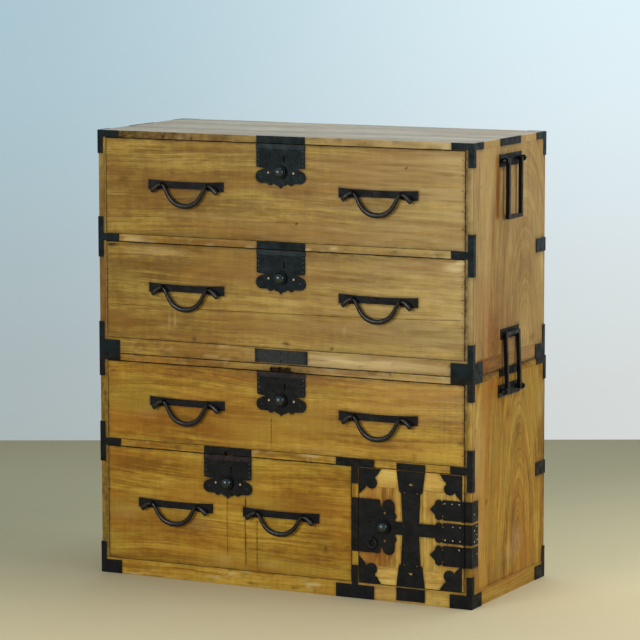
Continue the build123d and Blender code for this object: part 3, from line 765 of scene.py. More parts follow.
def dress(mesh, order, offset, pith, surface, marks):
    """Write what the wood materials read: grain, pith and marks at every point. The pith is a
    place along and across the grain on the board's face, and how fast the rings lean away."""
    places = places_of(mesh)
    piths = np.tile(np.array(pith, np.float32), (len(places), 1))
    piths[:, :2] += np.array(offset, np.float32)[:2]
    piths[:, 1] += RING_TILT * (surface + offset[2])
    colours = np.ones((len(places), 4))
    colours[:, :3] = np.clip(marks, 0, 1)
    layers = (
        ("grain", "FLOAT_VECTOR", "vector", places[:, list(order)] + np.array(offset)),
        ("pith", "FLOAT_VECTOR", "vector", piths),
        ("marks", "FLOAT_COLOR", "color", colours),
    )
    for name, kind, key, values in layers:
        layer = mesh.attributes.new(name, kind, "POINT")
        layer.data.foreach_set(key, values.astype(np.float32).ravel())


# grain runs along the first of these axes, and across the second
GRAIN_X = (0, 2, 1)
GRAIN_Z = (2, 1, 0)
GRAIN_Z_FRONT = (2, 0, 1)
GRAIN_Y = (1, 2, 0)
GRAIN_TOP = (0, 1, 2)


def no_marks(places):
    """A board without marks."""
    return np.zeros((len(places), 3))


def add_board(name, box, face, seed, finish, body, slot, node, grain, pith=(0.0, -0.6, 0.02), level=(),
              upright=(), cutters=(), marks=no_marks, edges=(), step=5, radius=0.9, sunk=0.45):
    """Add a worn board in the given box, with its level and upright cracks. Face is its outer face,
    and the distance of the mesh lines, the edge radius and the sinking are in millimetres."""
    low, high = box
    outwards = DIRECTIONS[face]
    axis = [abs(number) for number in outwards].index(1)
    is_low = outwards[axis] < 0
    level_axis = 2 if axis != 2 else 1
    upright_axis = 0 if axis != 0 else 1
    cracks = [(crack, upright_axis, level_axis) for crack in level]
    cracks += [(crack, level_axis, upright_axis) for crack in upright]
    lines = []
    for a in range(3):
        crossing = level if a == level_axis else upright if a == upright_axis else ()
        gap = step * MM if a != axis else max(high[a] - low[a], step * MM)
        lines.append(mesh_lines(low[a], high[a], gap, crossing))
    places, quads = lattice_box(*lines)
    surface = low[axis] if is_low else high[axis]
    inwards = 1 if is_low else -1
    for crack, along_axis, across_axis in cracks:
        groove(places, crack, along_axis, across_axis, axis, surface, inwards)
    places = wear_edges(places, low, high, radius * MM, seed)
    sink_face(places, axis, surface, inwards, sunk * MM, seed)
    mesh = board_mesh(name, places, quads)
    if cutters:
        mesh = cut(mesh, cutters)
    places = places_of(mesh)
    found = marks(places)
    for crack, along_axis, across_axis in cracks:
        found[:, 0] = np.maximum(found[:, 0], crack_dirt(places, crack, along_axis, across_axis))
    offset = (seed * 0.37, seed * 0.23, seed * 0.11)
    dress(mesh, grain, offset, pith, surface, found)
    put(name, mesh, finish, body, slot, node, edges=edges)


# ---- marks

def rect_marks(a, b, a0, a1, b0, b1, reach):
    """1 inside an upright rectangle, falling to 0 at the reach outside it."""
    off_a = np.maximum(np.maximum(a0 - a, a - a1), 0)
    off_b = np.maximum(np.maximum(b0 - b, b - b1), 0)
    return np.clip(1 - np.hypot(off_a, off_b) / reach, 0, 1)


def spot_marks(a, b, spots):
    """The strongest of some oval spots at each point, each falling to 0 at its edge."""
    total = np.zeros(len(a))
    for a0, b0, ra, rb, amount in spots:
        off = np.hypot((a - a0) / ra, (b - b0) / rb)
        total = np.maximum(total, amount * np.clip(1 - off, 0, 1) ** 0.8)
    return total


MOUNTED_IRON = [
    "upper_irons", "lower_irons", "upper_handle_plates", "lower_handle_plates", "door_irons",
    "door_hinge_straps", "door_lock_plate", "post_hinge_leaves",
    *[drawer + part for drawer in DRAWERS for part in ("_lock_plate", "_pull_plates")],
]


def surface_tree(names):
    """Searchable surface of some nodes."""
    places = []
    faces = []
    for name in names:
        mesh = nodes[name].data
        first = len(places)
        places += [vertex.co.copy() for vertex in mesh.vertices]
        faces += [[first + index for index in face.vertices] for face in mesh.polygons]
    return BVHTree.FromPolygons(places, faces)


IRON_TREE = surface_tree(MOUNTED_IRON)


# darkening of the wood round the ironwork: iron stain, and painted contact shade
def iron_stain_and_shade(places, reach=5.0):
    """How near each point lies to the ironwork: 1 at the iron, 0 at the reach in millimetres."""
    found = np.zeros(len(places))
    for number, place in enumerate(places):
        distance = IRON_TREE.find_nearest(place, reach * MM)[3]
        if distance is not None:
            found[number] = 1 - distance / (reach * MM)
    return found


def painted_sheen(x, z):
    """Painted sheen and painted light on the front: paler towards its upper right."""
    to_right = np.clip((x - left_x) / (820 * MM), 0, 1.1) ** 2
    upwards = rise(z, 230 * MM, 660 * MM)
    return upwards * (0.02 + 0.36 * to_right)


def seam_dirt(z, strength=0.95, reach=1.3):
    """Dirt in the joint between the two cases."""
    return strength * np.clip(1.6 - np.abs(z - seam_z) / (reach * MM), 0, 1)


def blotches(places):
    """Ragged dark and pale scraps along the narrow boards, each from 0 to 1."""
    dark = waves(places, (38, 38, 150), 21) + 0.5 * waves(places, (110, 90, 260), 22)
    pale = waves(places, (20, 20, 110), 23) + 0.5 * waves(places, (80, 80, 220), 24)
    return np.clip(dark - 0.35, 0, 0.8), np.clip(pale - 0.30, 0, 0.7)


def front_marks(box, dirt_spots=(), pale_spots=(), amber_spots=(), edge_dirt=1.0, worn=0.0):
    """Marks of a front board: dirt at its edges, iron stain and painted contact shade round the irons,
    painted sheen and painted light towards its upper right, and its own spots.
    """
    low, high = box

    def marks_at(places):
        x, y, z = places.T
        rough = 0.5 + 0.5 * waves(places, (45, 45, 90), 4)
        edge = np.minimum.reduce([x - low.x, high.x - x, z - low.z, high.z - z])
        rim = edge_dirt * (0.75 * fall(edge, 2.4) + 0.28 * fall(edge, 12) * rough)
        # iron stain on the wood, with painted contact shade round the irons
        stain = 0.75 * iron_stain_and_shade(places) * (0.4 + 0.6 * rough)
        dark, light = blotches(places)
        dirt = strongest(rim, stain, spot_marks(x, z, dirt_spots), seam_dirt(z), worn * dark)
        pale = strongest(painted_sheen(x, z), spot_marks(x, z, pale_spots), worn * light)
        return np.stack([dirt, pale, spot_marks(x, z, amber_spots)], 1)

    return marks_at


def spots(*rows):
    """Spots of the front: x and z of the middle, x and z radius in millimetres, and strength."""
    return [(front_x(x), z * MM, rx * MM, rz * MM, amount) for x, z, rx, rz, amount in rows]


def level_crack(z, x0, x1, **facts):
    """Crack along the grain of the front."""
    return Crack(z * MM, front_x(x0), front_x(x1), **facts)


def upright_crack(x, z0, z1, **facts):
    """Crack across the grain of the front."""
    return Crack(front_x(x), z0 * MM, z1 * MM, **facts)


# ---- lock recesses and mortises

LOCK_KNOB_DROP = 61.5 * MM
KEYHOLE_OFFSET = 8.5 * MM
KEYHOLE_DROP = 33 * MM
KEYHOLE_ROOM = (3.2 * MM, 8.5 * MM)
BOLT_ROOM = 0.4 * MM
MORTISE_DEPTH = 9 * MM


def finished_mesh(made, name):
    """Mesh of a shape that has been built up."""
    mesh = bpy.data.meshes.new(name)
    made.to_mesh(mesh)
    made.free()
    return mesh


def box_mesh(low, high):
    """Closed box, as a tool for cutting."""
    made = bmesh.new()
    bmesh.ops.create_cube(made, size=1)
    size = Vector(high) - Vector(low)
    for vertex in made.verts:
        share = vertex.co + Vector((0.5, 0.5, 0.5))
        vertex.co = Vector(low) + share * size
    return finished_mesh(made, "cut_box")


def bore_mesh(middle, radius, depth):
    """Closed round bar along Y, as a tool for cutting."""
    made = bmesh.new()
    bmesh.ops.create_cone(made, cap_ends=True, segments=20, radius1=radius, radius2=radius, depth=depth)
    turn = Matrix.Translation(middle) @ Matrix.Rotation(math.pi / 2, 4, "X")
    bmesh.ops.transform(made, matrix=turn, verts=made.verts)
    return finished_mesh(made, "cut_bore")


def knob_middle(prefix):
    """Middle of a lock's knob."""
    low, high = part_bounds(prefix + "_knob")
    return (low + high) / 2


def keyhole_cutter(prefix):
    """Dark room behind a keyhole."""
    middle = knob_middle(prefix)
    lift = LOCK_KNOB_DROP - KEYHOLE_DROP
    room, reach = KEYHOLE_ROOM
    a, b = middle.x + KEYHOLE_OFFSET, middle.z + lift
    if prefix == "door":
        room, reach = reach, room
        a, b = middle.x - lift, middle.z + KEYHOLE_OFFSET
    low = (a - room, wood_front - 1 * MM, b - reach)
    return box_mesh(low, (a + room, wood_front + 11 * MM, b + reach))


def lock_cutters(prefix):
    """Hollow behind a lock: the bolt's channel, the stem's bore and the key's way."""
    low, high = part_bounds(prefix + "_bolt")
    channel_low = low - Vector((BOLT_ROOM, 2 * MM, BOLT_ROOM))
    channel_high = high + Vector((BOLT_ROOM, BOLT_ROOM, BOLT_ROOM))
    if prefix == "door":
        channel_low.x -= 3 * MM
    else:
        channel_high.z += 3 * MM
    middle = knob_middle(prefix)
    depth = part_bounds(prefix + "_knob")[1].y - wood_front + 7 * MM
    place = Vector((middle.x, wood_front + depth / 2 - 1 * MM, middle.z))
    bore = bore_mesh(place, 3.9 * MM, depth + 2 * MM)
    return [box_mesh(channel_low, channel_high), bore, keyhole_cutter(prefix)]


def mortise_cutter(prefix):
    """Notch that a drawer's bolt rises into."""
    low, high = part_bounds(prefix + "_bolt")
    start = (low.x - BOLT_ROOM, wood_front - 1 * MM, high.z)
    return box_mesh(start, (high.x + BOLT_ROOM, high.y + BOLT_ROOM, high.z + 9.5 * MM))


def ragged_hole():
    """Tools that break a ragged hole into the lower top board's edge, where a strike plate is lost."""
    rng = random.Random(5)
    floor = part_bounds("lower_top_board")[0].z
    tools = []
    for step in range(8):
        x = front_x(429 + 6.0 * step)
        end = x + rng.uniform(6.2, 9.0) * MM
        top = floor + rng.uniform(3.5, 9.5) * MM
        depth = wood_front + rng.uniform(3.0, 4.6) * MM
        tools.append(box_mesh((x, wood_front - 1 * MM, floor - 1 * MM), (end, depth, top)))
    return tools


# ---- drawer fronts

# pith, cracks, and spots of dirt, pale wood and amber varnish on the front of each drawer; the broad faint
# dirt spots over the left part of each front are painted shade that darkens it towards the left
DRAWER_FACTS = {
    "drawer_1": dict(
        pith=(0.25, 0.40, 0.03),
        level=[level_crack(806, 60, 520, width=0.3, depth=0.5, wobble=2.0, dark=0.3)],
        dirt=[
            (90, 880, 190, 110, 0.22), (64, 886, 20, 14, 0.55), (187, 904, 3.5, 3.5, 0.95),
            (492, 806, 3.5, 3.5, 0.9), (753, 936, 4, 4, 0.95), (250, 858, 120, 12, 0.25),
            (460, 870, 60, 16, 0.28), (700, 858, 90, 14, 0.24), (520, 876, 14, 24, 0.25),
            (200, 900, 140, 8, 0.16), (250, 880, 330, 110, 0.16),
        ],
        pale=[
            (519, 830, 5, 36, 0.30), (630, 941, 90, 5, 0.40), (893, 915, 5, 60, 0.7),
            (560, 942, 90, 6, 0.35), (300, 812, 190, 7, 0.32), (170, 935, 130, 6, 0.22),
        ]),
    "drawer_2": dict(
        pith=(-0.1, 0.20, 0.02),
        level=[level_crack(608, 30, 884, width=0.6, depth=3.0, wobble=1.6, drift=11.0),
               level_crack(596, 604, 627, width=0.5, depth=1.6, wobble=0.5, dark=0.9)],
        dirt=[
            (32, 741, 26, 7, 0.95), (240, 541, 7, 6, 0.95), (467, 545, 14, 7, 0.85),
            (577, 540, 6, 4, 0.95), (610, 737, 100, 7, 0.42), (45, 690, 50, 30, 0.24),
            (700, 700, 80, 16, 0.24), (540, 735, 60, 6, 0.3), (120, 640, 150, 80, 0.22),
        ],
        pale=[
            (179, 580, 4, 30, 0.36), (192, 580, 4, 30, 0.32), (606, 578, 7, 24, 0.50),
            (864, 730, 40, 14, 1.3), (880, 742, 18, 7, 1.6), (94, 728, 6, 12, 0.35),
            (150, 730, 120, 16, 0.3), (590, 618, 110, 9, 0.35), (480, 632, 50, 14, 0.35),
            (893, 640, 5, 90, 0.6),
        ]),
    "drawer_3": dict(
        pith=(0.1, -0.25, 0.02),
        upright=[upright_crack(430, 309, 386, width=0.8, depth=1.6, wobble=0.8, dark=0.8),
                 upright_crack(844, 330, 440, width=0.5, depth=0.3, wobble=0.6, dark=0.35),
                 upright_crack(856, 330, 470, width=0.5, depth=0.3, wobble=0.6, dark=0.3),
                 upright_crack(110, 318, 350, width=0.4, depth=0.8, wobble=1.0, dark=0.45)],
        dirt=[
            (34, 459, 10, 5, 0.9), (775, 317, 6, 14, 0.55), (885, 357, 12, 8, 0.8),
            (110, 352, 18, 10, 0.28), (470, 310, 250, 5, 0.25), (240, 462, 120, 10, 0.24),
            (600, 450, 120, 8, 0.18), (150, 400, 200, 90, 0.14),
        ],
        pale=[(120, 370, 50, 18, 0.10), (560, 318, 120, 6, 0.25)],
        amber=[
            (240, 400, 110, 40, 0.35), (760, 340, 100, 26, 0.4), (300, 340, 120, 16, 0.3),
            (400, 464, 420, 16, 0.8),
        ]),
    "drawer_4": dict(
        pith=(-0.3, 0.9, 0.03),
        upright=[upright_crack(320, 60, 200, width=0.8, depth=1.2, wobble=1.4, dark=0.7),
                 upright_crack(365, 42, 206, width=1.4, depth=2.2, wobble=2.0, dark=1.0),
                 upright_crack(394, 38, 155, width=1.3, depth=2.0, wobble=2.0, dark=0.95)],
        dirt=[
            (561, 100, 5, 11, 0.85), (545, 130, 56, 66, 0.22), (365, 205, 7, 7, 0.6),
            (520, 150, 24, 24, 0.22), (110, 118, 100, 16, 0.22), (200, 108, 130, 12, 0.2),
            (500, 190, 80, 12, 0.2), (110, 150, 190, 120, 0.14),
        ],
        pale=[
            (309, 52, 34, 16, 0.16), (60, 140, 46, 24, 0.10), (425, 52, 40, 10, 0.16),
            (250, 130, 60, 20, 0.08),
        ],
        amber=[(250, 108, 160, 30, 0.4), (520, 215, 90, 30, 0.3), (90, 230, 70, 20, 0.3)]),
}


def dress_drawers():
    """Worn fronts of the four drawers."""
    for seed, (drawer, facts) in enumerate(DRAWER_FACTS.items(), 3):
        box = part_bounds(drawer + "_front")
        kinds = [spots(*facts.get(kind, ())) for kind in ("dirt", "pale", "amber")]
        wood = upper_front_wood if drawer in ("drawer_1", "drawer_2") else front_wood
        add_board(drawer + "_board", box, "front", seed, wood, drawer, "front_wood", drawer + "_front",
                  GRAIN_X, facts["pith"], facts.get("level", ()), facts.get("upright", ()),
                  lock_cutters(drawer), front_marks(box, *kinds))


# ---- case boards

# spots of a side: y and z of the middle, y and z radius in millimetres, and strength
SIDE_DIRT = (
    (245, 352, 7, 60, 0.6), (78, 221, 9, 9, 0.7), (21, 382, 6, 6, 0.7), (250, 545, 90, 9, 0.18),
    (48, 560, 16, 44, 0.24), (112, 560, 30, 56, 0.22), (124, 572, 50, 90, 0.18), (210, 785, 80, 46, 0.2),
    (120, 490, 60, 8, 0.5), (50, 300, 6, 60, 0.2), (180, 70, 60, 14, 0.18), (44, 900, 9, 6, 0.3),
    (245, 350, 60, 110, 0.24), (250, 700, 150, 150, 0.16), (330, 250, 50, 160, 0.14),
)
# the broad pale spots 30 to 60 mm from the front edge are partly painted light, paler towards the side's
# front
SIDE_PALE = (
    (30, 330, 40, 150, 0.35), (36, 160, 26, 110, 0.3), (300, 880, 120, 200, 0.20),
    (60, 760, 90, 200, 0.18), (250, 790, 60, 40, 0.28), (370, 700, 34, 60, 0.4),
    (240, 110, 40, 50, 0.22), (375, 400, 30, 70, 0.2), (100, 492, 50, 9, 0.95), (60, 495, 14, 6, 0.9),
    (205, 90, 30, 40, 0.2),
)
SIDE_AMBER = (
    (116, 550, 112, 170, 0.9), (108, 760, 14, 170, 0.4), (70, 520, 95, 20, 0.9),
    (110, 640, 14, 130, 0.5), (60, 440, 30, 70, 0.4), (322, 548, 18, 10, 0.7), (40, 300, 50, 160, 0.25),
    (150, 38, 200, 6, 0.8), (250, 330, 60, 120, 0.25),
)
# the wood of a side, between its front and rear edges, and the band of its sill frame above the seam
SIDE_DEPTHS = (1.6, 394.4)
SILL_HEIGHTS = (483, 532)
# dark grain lines of each case's sides: y and two heights, in millimetres
UPPER_LINES = ((112, 560, 820), (165, 560, 800), (226, 585, 820), (300, 560, 840), (60, 560, 900))
LOWER_LINES = ((88, 60, 400), (165, 60, 470), (216, 60, 460), (280, 80, 420), (312, 60, 430), (140, 200, 440))


def side_lines(rows, dark):
    """Dark grain lines of a side board: place across and two heights, in millimetres."""
    return [Crack(side_y(y), z0 * MM, z1 * MM, 0.9, 0.15, 2.5, dark=dark) for y, z0, z1 in rows]


def side_marks(places):
    """Marks of the two sides, and amber where the upper bail has kept the wood. The upper side is paler from
    fading and painted haze, the stiles' fronts take painted sheen, and the right stile's inner edge takes
    stain and painted shade in the gap beside the drawers.
    """
    x, y, z = places.T
    across = (y - iron_front) / MM
    height = z / MM
    rough = 0.5 + 0.5 * waves(places, (60, 60, 30), 9)
    edge = np.minimum(across - SIDE_DEPTHS[0], SIDE_DEPTHS[1] - across)
    front = across < 2.4
    dirt = 0.5 * np.clip(1 - edge / 5, 0, 1) + 0.28 * np.clip(1 - edge / 22, 0, 1) * rough
    inner_gap = (inner_x - np.abs(x)) / MM
    left_stile = (x < 0) * np.where(z < seam_z, 0.52, 0.20)
    # dark stain and painted shade in the gap between the drawers and the right stile
    right_gap_stain_and_shade = 0.8 * (x > 0) * np.clip(1 + (inner_gap + 1) / 3, 0, 1)
    dirt = np.where(front, left_stile + 0.16 * rough + right_gap_stain_and_shade, dirt)
    dark, light = blotches(places[:, [2, 1, 0]])
    sill = (height > SILL_HEIGHTS[0]) & (height < SILL_HEIGHTS[1]) & ~front
    forward = np.clip(1.25 - across / 170, 0, 1)
    low_ends = ((height < 40) | (np.abs(height - 490) < 8)) & ~front
    dirt = strongest(dirt, 0.7 * front * dark, 0.8 * iron_stain_and_shade(places, 10.0) * rough,
                     spot_marks(across, height, SIDE_DIRT), seam_dirt(z, 0.85, 2.2),
                     sill * (0.14 + 0.34 * forward * rough), low_ends * (0.10 + 0.10 * rough))
    upper = height > seam_z / MM
    kept = np.maximum(rect_marks(across, height, 124, 137, 828, 956, 6),
                      rect_marks(across, height, 172, 186, 828, 930, 5))
    # paler upper side: fading, and painted haze
    faded_and_haze = upper * (0.20 + 0.12 * waves(places, (3, 9, 4), 12)) * (1 - kept)
    pale = np.maximum(faded_and_haze, spot_marks(across, height, SIDE_PALE) * (1 - kept))
    amber = np.maximum(0.75 * kept, spot_marks(across, height, SIDE_AMBER))
    amber = np.clip(np.maximum(amber, 1.2 * forward * (sill & (height > 498))), 0, 1)
    pale *= 1 - 0.9 * amber
    # the stiles' fronts: painted sheen and painted light towards the upper right, and pale worn wood
    bare = painted_sheen(x, z) + 0.3 * light + 0.3 * (x < 0) * (inner_gap > -1)
    pale = np.where(front, bare, pale * (1 - 0.6 * sill))
    return np.stack([dirt, pale, amber * ~front], 1)


def dress_sides():
    """Worn side boards of both cases."""
    rows = (
        ("upper", 11, (0.52, 0.075, 0.30), UPPER_LINES, 0.22),
        ("lower", 14, (0.02, 0.055, 0.22), LOWER_LINES, 0.42),
    )
    for level, seed, pith, lines, dark in rows:
        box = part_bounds(level + "_sides")
        halves = {"left": {"x1": box[0].x + SIDE_THICKNESS}, "right": {"x0": box[1].x - SIDE_THICKNESS}}
        for hand, limits in halves.items():
            add_board(level + "_side_" + hand, part_of(box, **limits), hand, seed, SIDE_WOODS[level],
                      level + "_case", "side_wood", level + "_sides", GRAIN_Z, pith,
                      upright=side_lines(lines, dark), marks=side_marks,
                      edges=[("front", FRONT_WOODS[level])], step=6, radius=0.7)


def dress_tops():
    """Worn top boards of both cases."""
    # the strong spot at 466 mm over the ragged hole is painted shade inside it
    edge_dirt = spots((818, 976, 28, 8, 0.9), (100, 984, 60, 4, 0.4), (466, 480, 84, 10, 1.5),
                      (640, 983, 60, 3, 0.3), (700, 489, 80, 3, 0.4), (200, 488, 90, 3, 0.4))
    rows = (
        ("upper", 21, "drawer_1", GRAIN_TOP, top_wood, []),
        ("lower", 24, "drawer_3", GRAIN_X, front_wood, ragged_hole()),
    )
    for level, seed, lock, grain, finish, hole in rows:
        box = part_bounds(level + "_top_board")
        ends = SIDE_WOODS[level]
        edges = [("front", FRONT_WOODS[level]), ("left", ends), ("right", ends), ("back", back_wood)]
        add_board(level + "_top", box, "top", seed, finish, level + "_case", "top_wood",
                  level + "_top_board", grain, (0.1, 0.5, 0.03), cutters=[mortise_cutter(lock), *hole],
                  marks=top_marks(box, edge_dirt), edges=edges, step=7, radius=1.1, sunk=0.9)


def top_marks(box, dirt_spots):
    """Marks of a top board: dirt along its edges, spots on its front edge and the sides' marks on its ends.
    Its front edge grows darker towards the left and paler towards the right, with painted sheen, and is
    painted almost black in the ragged hole as painted shade.
    """
    low, high = box

    def marks_at(places):
        x, y, z = places.T
        rough = 0.5 + 0.5 * waves(places, (25, 40, 40), 2)
        edge = np.minimum.reduce([x - low.x, high.x - x, y - low.y, high.y - y])
        dirt = 0.3 * fall(edge, 10) * rough
        front = y < low.y + 2 * MM
        to_left = np.clip(0.5 - x / 0.8, 0, 1)
        dark, light = blotches(places)
        stained = 0.9 * dark + (0.04 + 0.45 * to_left) * rough + 0.25 * iron_stain_and_shade(places)
        stained += (low.z > seam_z) * 0.52 * to_left ** 2
        # inside the ragged hole of the lower top board: painted shade
        broken = (np.abs(x) < 28 * MM) & (z < low.z + 10 * MM) & (y < low.y + 18 * MM)
        dirt = strongest(np.where(front, stained, dirt), front * spot_marks(x, z, dirt_spots),
                         seam_dirt(z) * (edge < 5 * MM), broken * (low.z < seam_z) * 1.6)
        # painted sheen as on the fronts, paler still towards the right, and pale scraps
        pale = np.where(front, painted_sheen(x, z) + 0.25 * (1 - to_left) + 0.5 * light, 0.0)
        ends = np.abs(x) > wood_right - 2 * MM
        marks = np.stack([dirt, pale, np.zeros(len(x))], 1)
        return np.where((ends & ~front)[:, None], side_marks(places), marks)

    return marks_at


def dress_sills(level):
    """Rails, floor and batten of a sill frame."""
    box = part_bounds(level + "_base_frame")
    low, high = box
    rail = 22 * MM
    post = SIDE_THICKNESS
    floor_low = high.z - 13 * MM
    inside = {"y0": low.y + rail, "y1": high.y - rail}
    side = SIDE_WOODS[level]
    ends = [("left", side), ("right", side)]
    # the broad pale spots on the right of the sill fronts are painted sheen, as on the fronts
    paler = spots((640, 515, 330, 26, 0.85), (745, 20, 150, 34, 0.26))
    worn = front_marks(box, pale_spots=paler, edge_dirt=0.35, worn=0.8)
    # the front rail's top stays just under the drawer that slides over it
    rows = (
        ("front", {"y1": low.y + rail, "z1": high.z - 0.2 * MM}, "front", GRAIN_X, FRONT_WOODS[level],
         ends, worn),
        ("rear", {"y0": high.y - rail}, "back", GRAIN_X, back_wood, ends, side_marks),
        ("left", {"x1": low.x + post, **inside}, "left", GRAIN_Y, side, (), side_marks),
        ("right", {"x0": high.x - post, **inside}, "right", GRAIN_Y, side, (), side_marks),
        ("floor", {"x0": low.x + post, "x1": high.x - post, "z0": floor_low, **inside}, "top", GRAIN_X,
         back_wood, (), no_marks),
        ("batten", {"x0": -35 * MM, "x1": 35 * MM, "z1": floor_low, **inside}, "top", GRAIN_Y,
         back_wood, (), no_marks),
    )
    for number, (part, limits, face, grain, finish, edges, marks) in enumerate(rows):
        add_board(level + "_sill_" + part, part_of(box, **limits), face, 41 + number, finish,
                  level + "_case", "front_wood", level + "_base_frame", grain, marks=marks, edges=edges,
                  step=40 if face == "top" else 6, radius=0.7)


def dress_rails():
    """Worn shelves, sill frames and backs."""
    for level, lock in (("upper", "drawer_2"), ("lower", "drawer_4")):
        case = level + "_case"
        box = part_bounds(level + "_shelf")
        # the strong spot at 322 mm is painted shade inside the lowest drawer's bolt notch
        hole = spots((322, 298, 52, 34, 3.0), (150, 298, 90, 5, 0.3))
        add_board(level + "_rail", box, "front", 31, FRONT_WOODS[level], case, "front_wood",
                  level + "_shelf", GRAIN_X, cutters=[mortise_cutter(lock)],
                  marks=front_marks(box, hole, edge_dirt=0.4, worn=1.0), step=7, radius=0.7)
        dress_sills(level)
        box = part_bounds(level + "_back_panel")
        low, high = box
        height = (high.z - low.z) / BACK_BOARDS
        for number in range(BACK_BOARDS):
            part = part_of(box, z0=low.z + number * height, z1=low.z + (number + 1) * height)
            add_board(level + "_back_" + str(number), part, "back", 51 + number, back_wood, case,
                      "back_wood", level + "_back_panel", GRAIN_X, step=9)


def dress_divider():
    """Worn divider between the lowest drawer and the door."""
    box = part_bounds("lower_divider")
    low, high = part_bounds("door_bolt")
    start = (low.x - MORTISE_DEPTH, wood_front - 1 * MM, low.z - BOLT_ROOM)
    notch = box_mesh(start, (low.x, high.y + BOLT_ROOM, high.z + BOLT_ROOM))
    add_board("divider_board", box, "front", 61, front_wood, "lower_case", "front_wood", "lower_divider",
              GRAIN_Z_FRONT, cutters=[notch], marks=front_marks(box, edge_dirt=0.6), step=7, radius=0.7)


def dress_door():
    """Door panel with upright grain between two cleats."""
    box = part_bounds("door_panel")
    low, high = box
    cleat = 40 * MM
    shade = spots((690, 100, 60, 44, 0.40), (690, 225, 50, 30, 0.2))
    amber = spots((700, 215, 80, 60, 0.8), (690, 105, 78, 56, 0.8))
    rows = (
        ("lower_cleat", {"z1": low.z + cleat}, GRAIN_X, cleat_wood, (), ()),
        ("middle", {"z0": low.z + cleat, "z1": high.z - cleat}, GRAIN_Z_FRONT, door_wood,
         lock_cutters("door"), amber),
        ("upper_cleat", {"z0": high.z - cleat}, GRAIN_X, cleat_wood, (), ()),
    )
    for number, (part, limits, grain, finish, cutters, varnish) in enumerate(rows):
        part_box = part_of(box, **limits)
        add_board("door_" + part, part_box, "front", 71 + number, finish, "door", "front_wood",
                  "door_panel", grain, cutters=cutters,
                  marks=front_marks(part_box, shade, (), varnish, edge_dirt=0.2), radius=0.5)


# ---- pulls

# half of a drawer pull's line from its blunt end to its middle: x and z in millimetres from
# the middle between its eyes, radius across and radius in depth
PULL_LINE = (
    (80.5, -13.5, 5.6, 4.5), (75.5, -9.0, 5.8, 4.7), (70.0, -3.8, 4.9, 4.2), (64.0, 0.0, 3.8, 3.6),
    (57.5, 0.8, 3.2, 3.2), (51.0, -3.0, 3.6, 3.4), (45.5, -12.5, 4.3, 3.8), (39.0, -24.0, 4.8, 4.1),
    (29.0, -35.5, 5.3, 4.4), (15.5, -42.8, 5.7, 4.6), (0.0, -45.2, 5.9, 4.7),
)


def smooth_line(points, steps):
    """Points along a smooth line through the given ones."""
    made = []
    last = len(points) - 1
    for i in range(last):
        around = points[max(i - 1, 0)], points[i], points[i + 1], points[min(i + 2, last)]
        made += [cubic(*around, step / steps) for step in range(steps)]
    return [*made, points[last]]


def cubic(p0, p1, p2, p3, t):
    """Point of a Catmull-Rom curve between its second and third points."""
    a = 2 * p1
    b = p2 - p0
    c = 2 * p0 - 5 * p1 + 4 * p2 - p3
    d = 3 * p1 - p0 - 3 * p2 + p3
    return 0.5 * (a + b * t + c * t * t + d * t * t * t)


def sweep(line, depth_y, sides=16, seed=0):
    """Closed bar along a line in an upright plane: x, z and two radii for each ring."""
    places = []
    quads = []
    last = len(line) - 1
    for i, (x, z, across, deep) in enumerate(line):
        ahead = line[min(i + 1, last)][:2] - line[max(i - 1, 0)][:2]
        ahead = ahead / np.linalg.norm(ahead)
        for side in range(sides):
            angle = 2 * math.pi * side / sides
            out = across * math.cos(angle)
            y = depth_y + deep * math.sin(angle)
            places.append((x - ahead[1] * out, y, z + ahead[0] * out))
    places = np.array(places)
    middles = np.repeat(np.array([(x, depth_y, z) for x, z, _, _ in line]), sides, axis=0)
    places = middles + (places - middles) * (1 + 0.06 * waves(places, 170, seed))[:, None]
    for i in range(last):
        for side in range(sides):
            after = (side + 1) % sides
            a, b = i * sides + side, i * sides + after
            quads.append((a, a + sides, b + sides, b))
    quads.append(list(range(sides)))
    quads.append([last * sides + side for side in reversed(range(sides))])
    return places, quads


# caps of a pull's blunt ends: reach and share of the end's radius
BLUNT_END = ((0.25, 0.97), (0.42, 0.86), (0.5, 0.62))


def bail_line(middle_x, middle_z, drop):
    """Centre line of a whole drawer pull with blunt ends. Drop is how deep it hangs, next to the others."""
    half = [np.array((x, z * drop, across, deep)) * MM for x, z, across, deep in PULL_LINE]
    left = [point * np.array((-1, 1, 1, 1)) for point in half]
    line = smooth_line(left + half[::-1][1:], 5)
    caps = []
    for end, inner in ((line[0], line[1]), (line[-1], line[-2])):
        out = (end[:2] - inner[:2]) / np.linalg.norm(end[:2] - inner[:2])
        caps.append([np.array((*(end[:2] + out * reach * end[2] * 0.6), end[2] * share, end[3] * share))
                     for reach, share in BLUNT_END])
    shift = np.array((middle_x, middle_z, 0, 0))
    return [point + shift for point in caps[0][::-1] + line + caps[1]]


def plate_middles(drawer):
    """Middle of each pull plate of a drawer, left and right."""
    wide = [box for box in solid_boxes(drawer + "_pull_plates") if box[1].x - box[0].x > 50 * MM]
    return [((low.x + high.x) / 2, (low.z + high.z) / 2) for low, high in wide]


def dress_pulls():
    """Forged pulls: thin in their eyes, thick in the hand, with blunt turned-down ends."""
    for number, drawer in enumerate(DRAWERS):
        drop = 0.91 if drawer == "drawer_4" else 1.0
        for side, (x, z) in enumerate(plate_middles(drawer)):
            body = drawer + ("_pull_left", "_pull_right")[side]
            low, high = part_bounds(body)
            places, quads = sweep(bail_line(x, z, drop), (low.y + high.y) / 2, seed=number * 2 + side)
            mesh = board_mesh(body + "_bar", places, quads)
            made = bmesh.new()
            made.from_mesh(mesh)
            bmesh.ops.recalc_face_normals(made, faces=made.faces)
            made.to_mesh(mesh)
            made.free()
            put(body + "_bar", mesh, forged_iron, body, "forged_iron", body)


# ---- nails

# rings of a nail head from its hidden foot: share of its radius and of its height
NAIL_RINGS = ((1.0, -0.25), (1.0, 0.3), (0.85, 0.62), (0.55, 0.9))


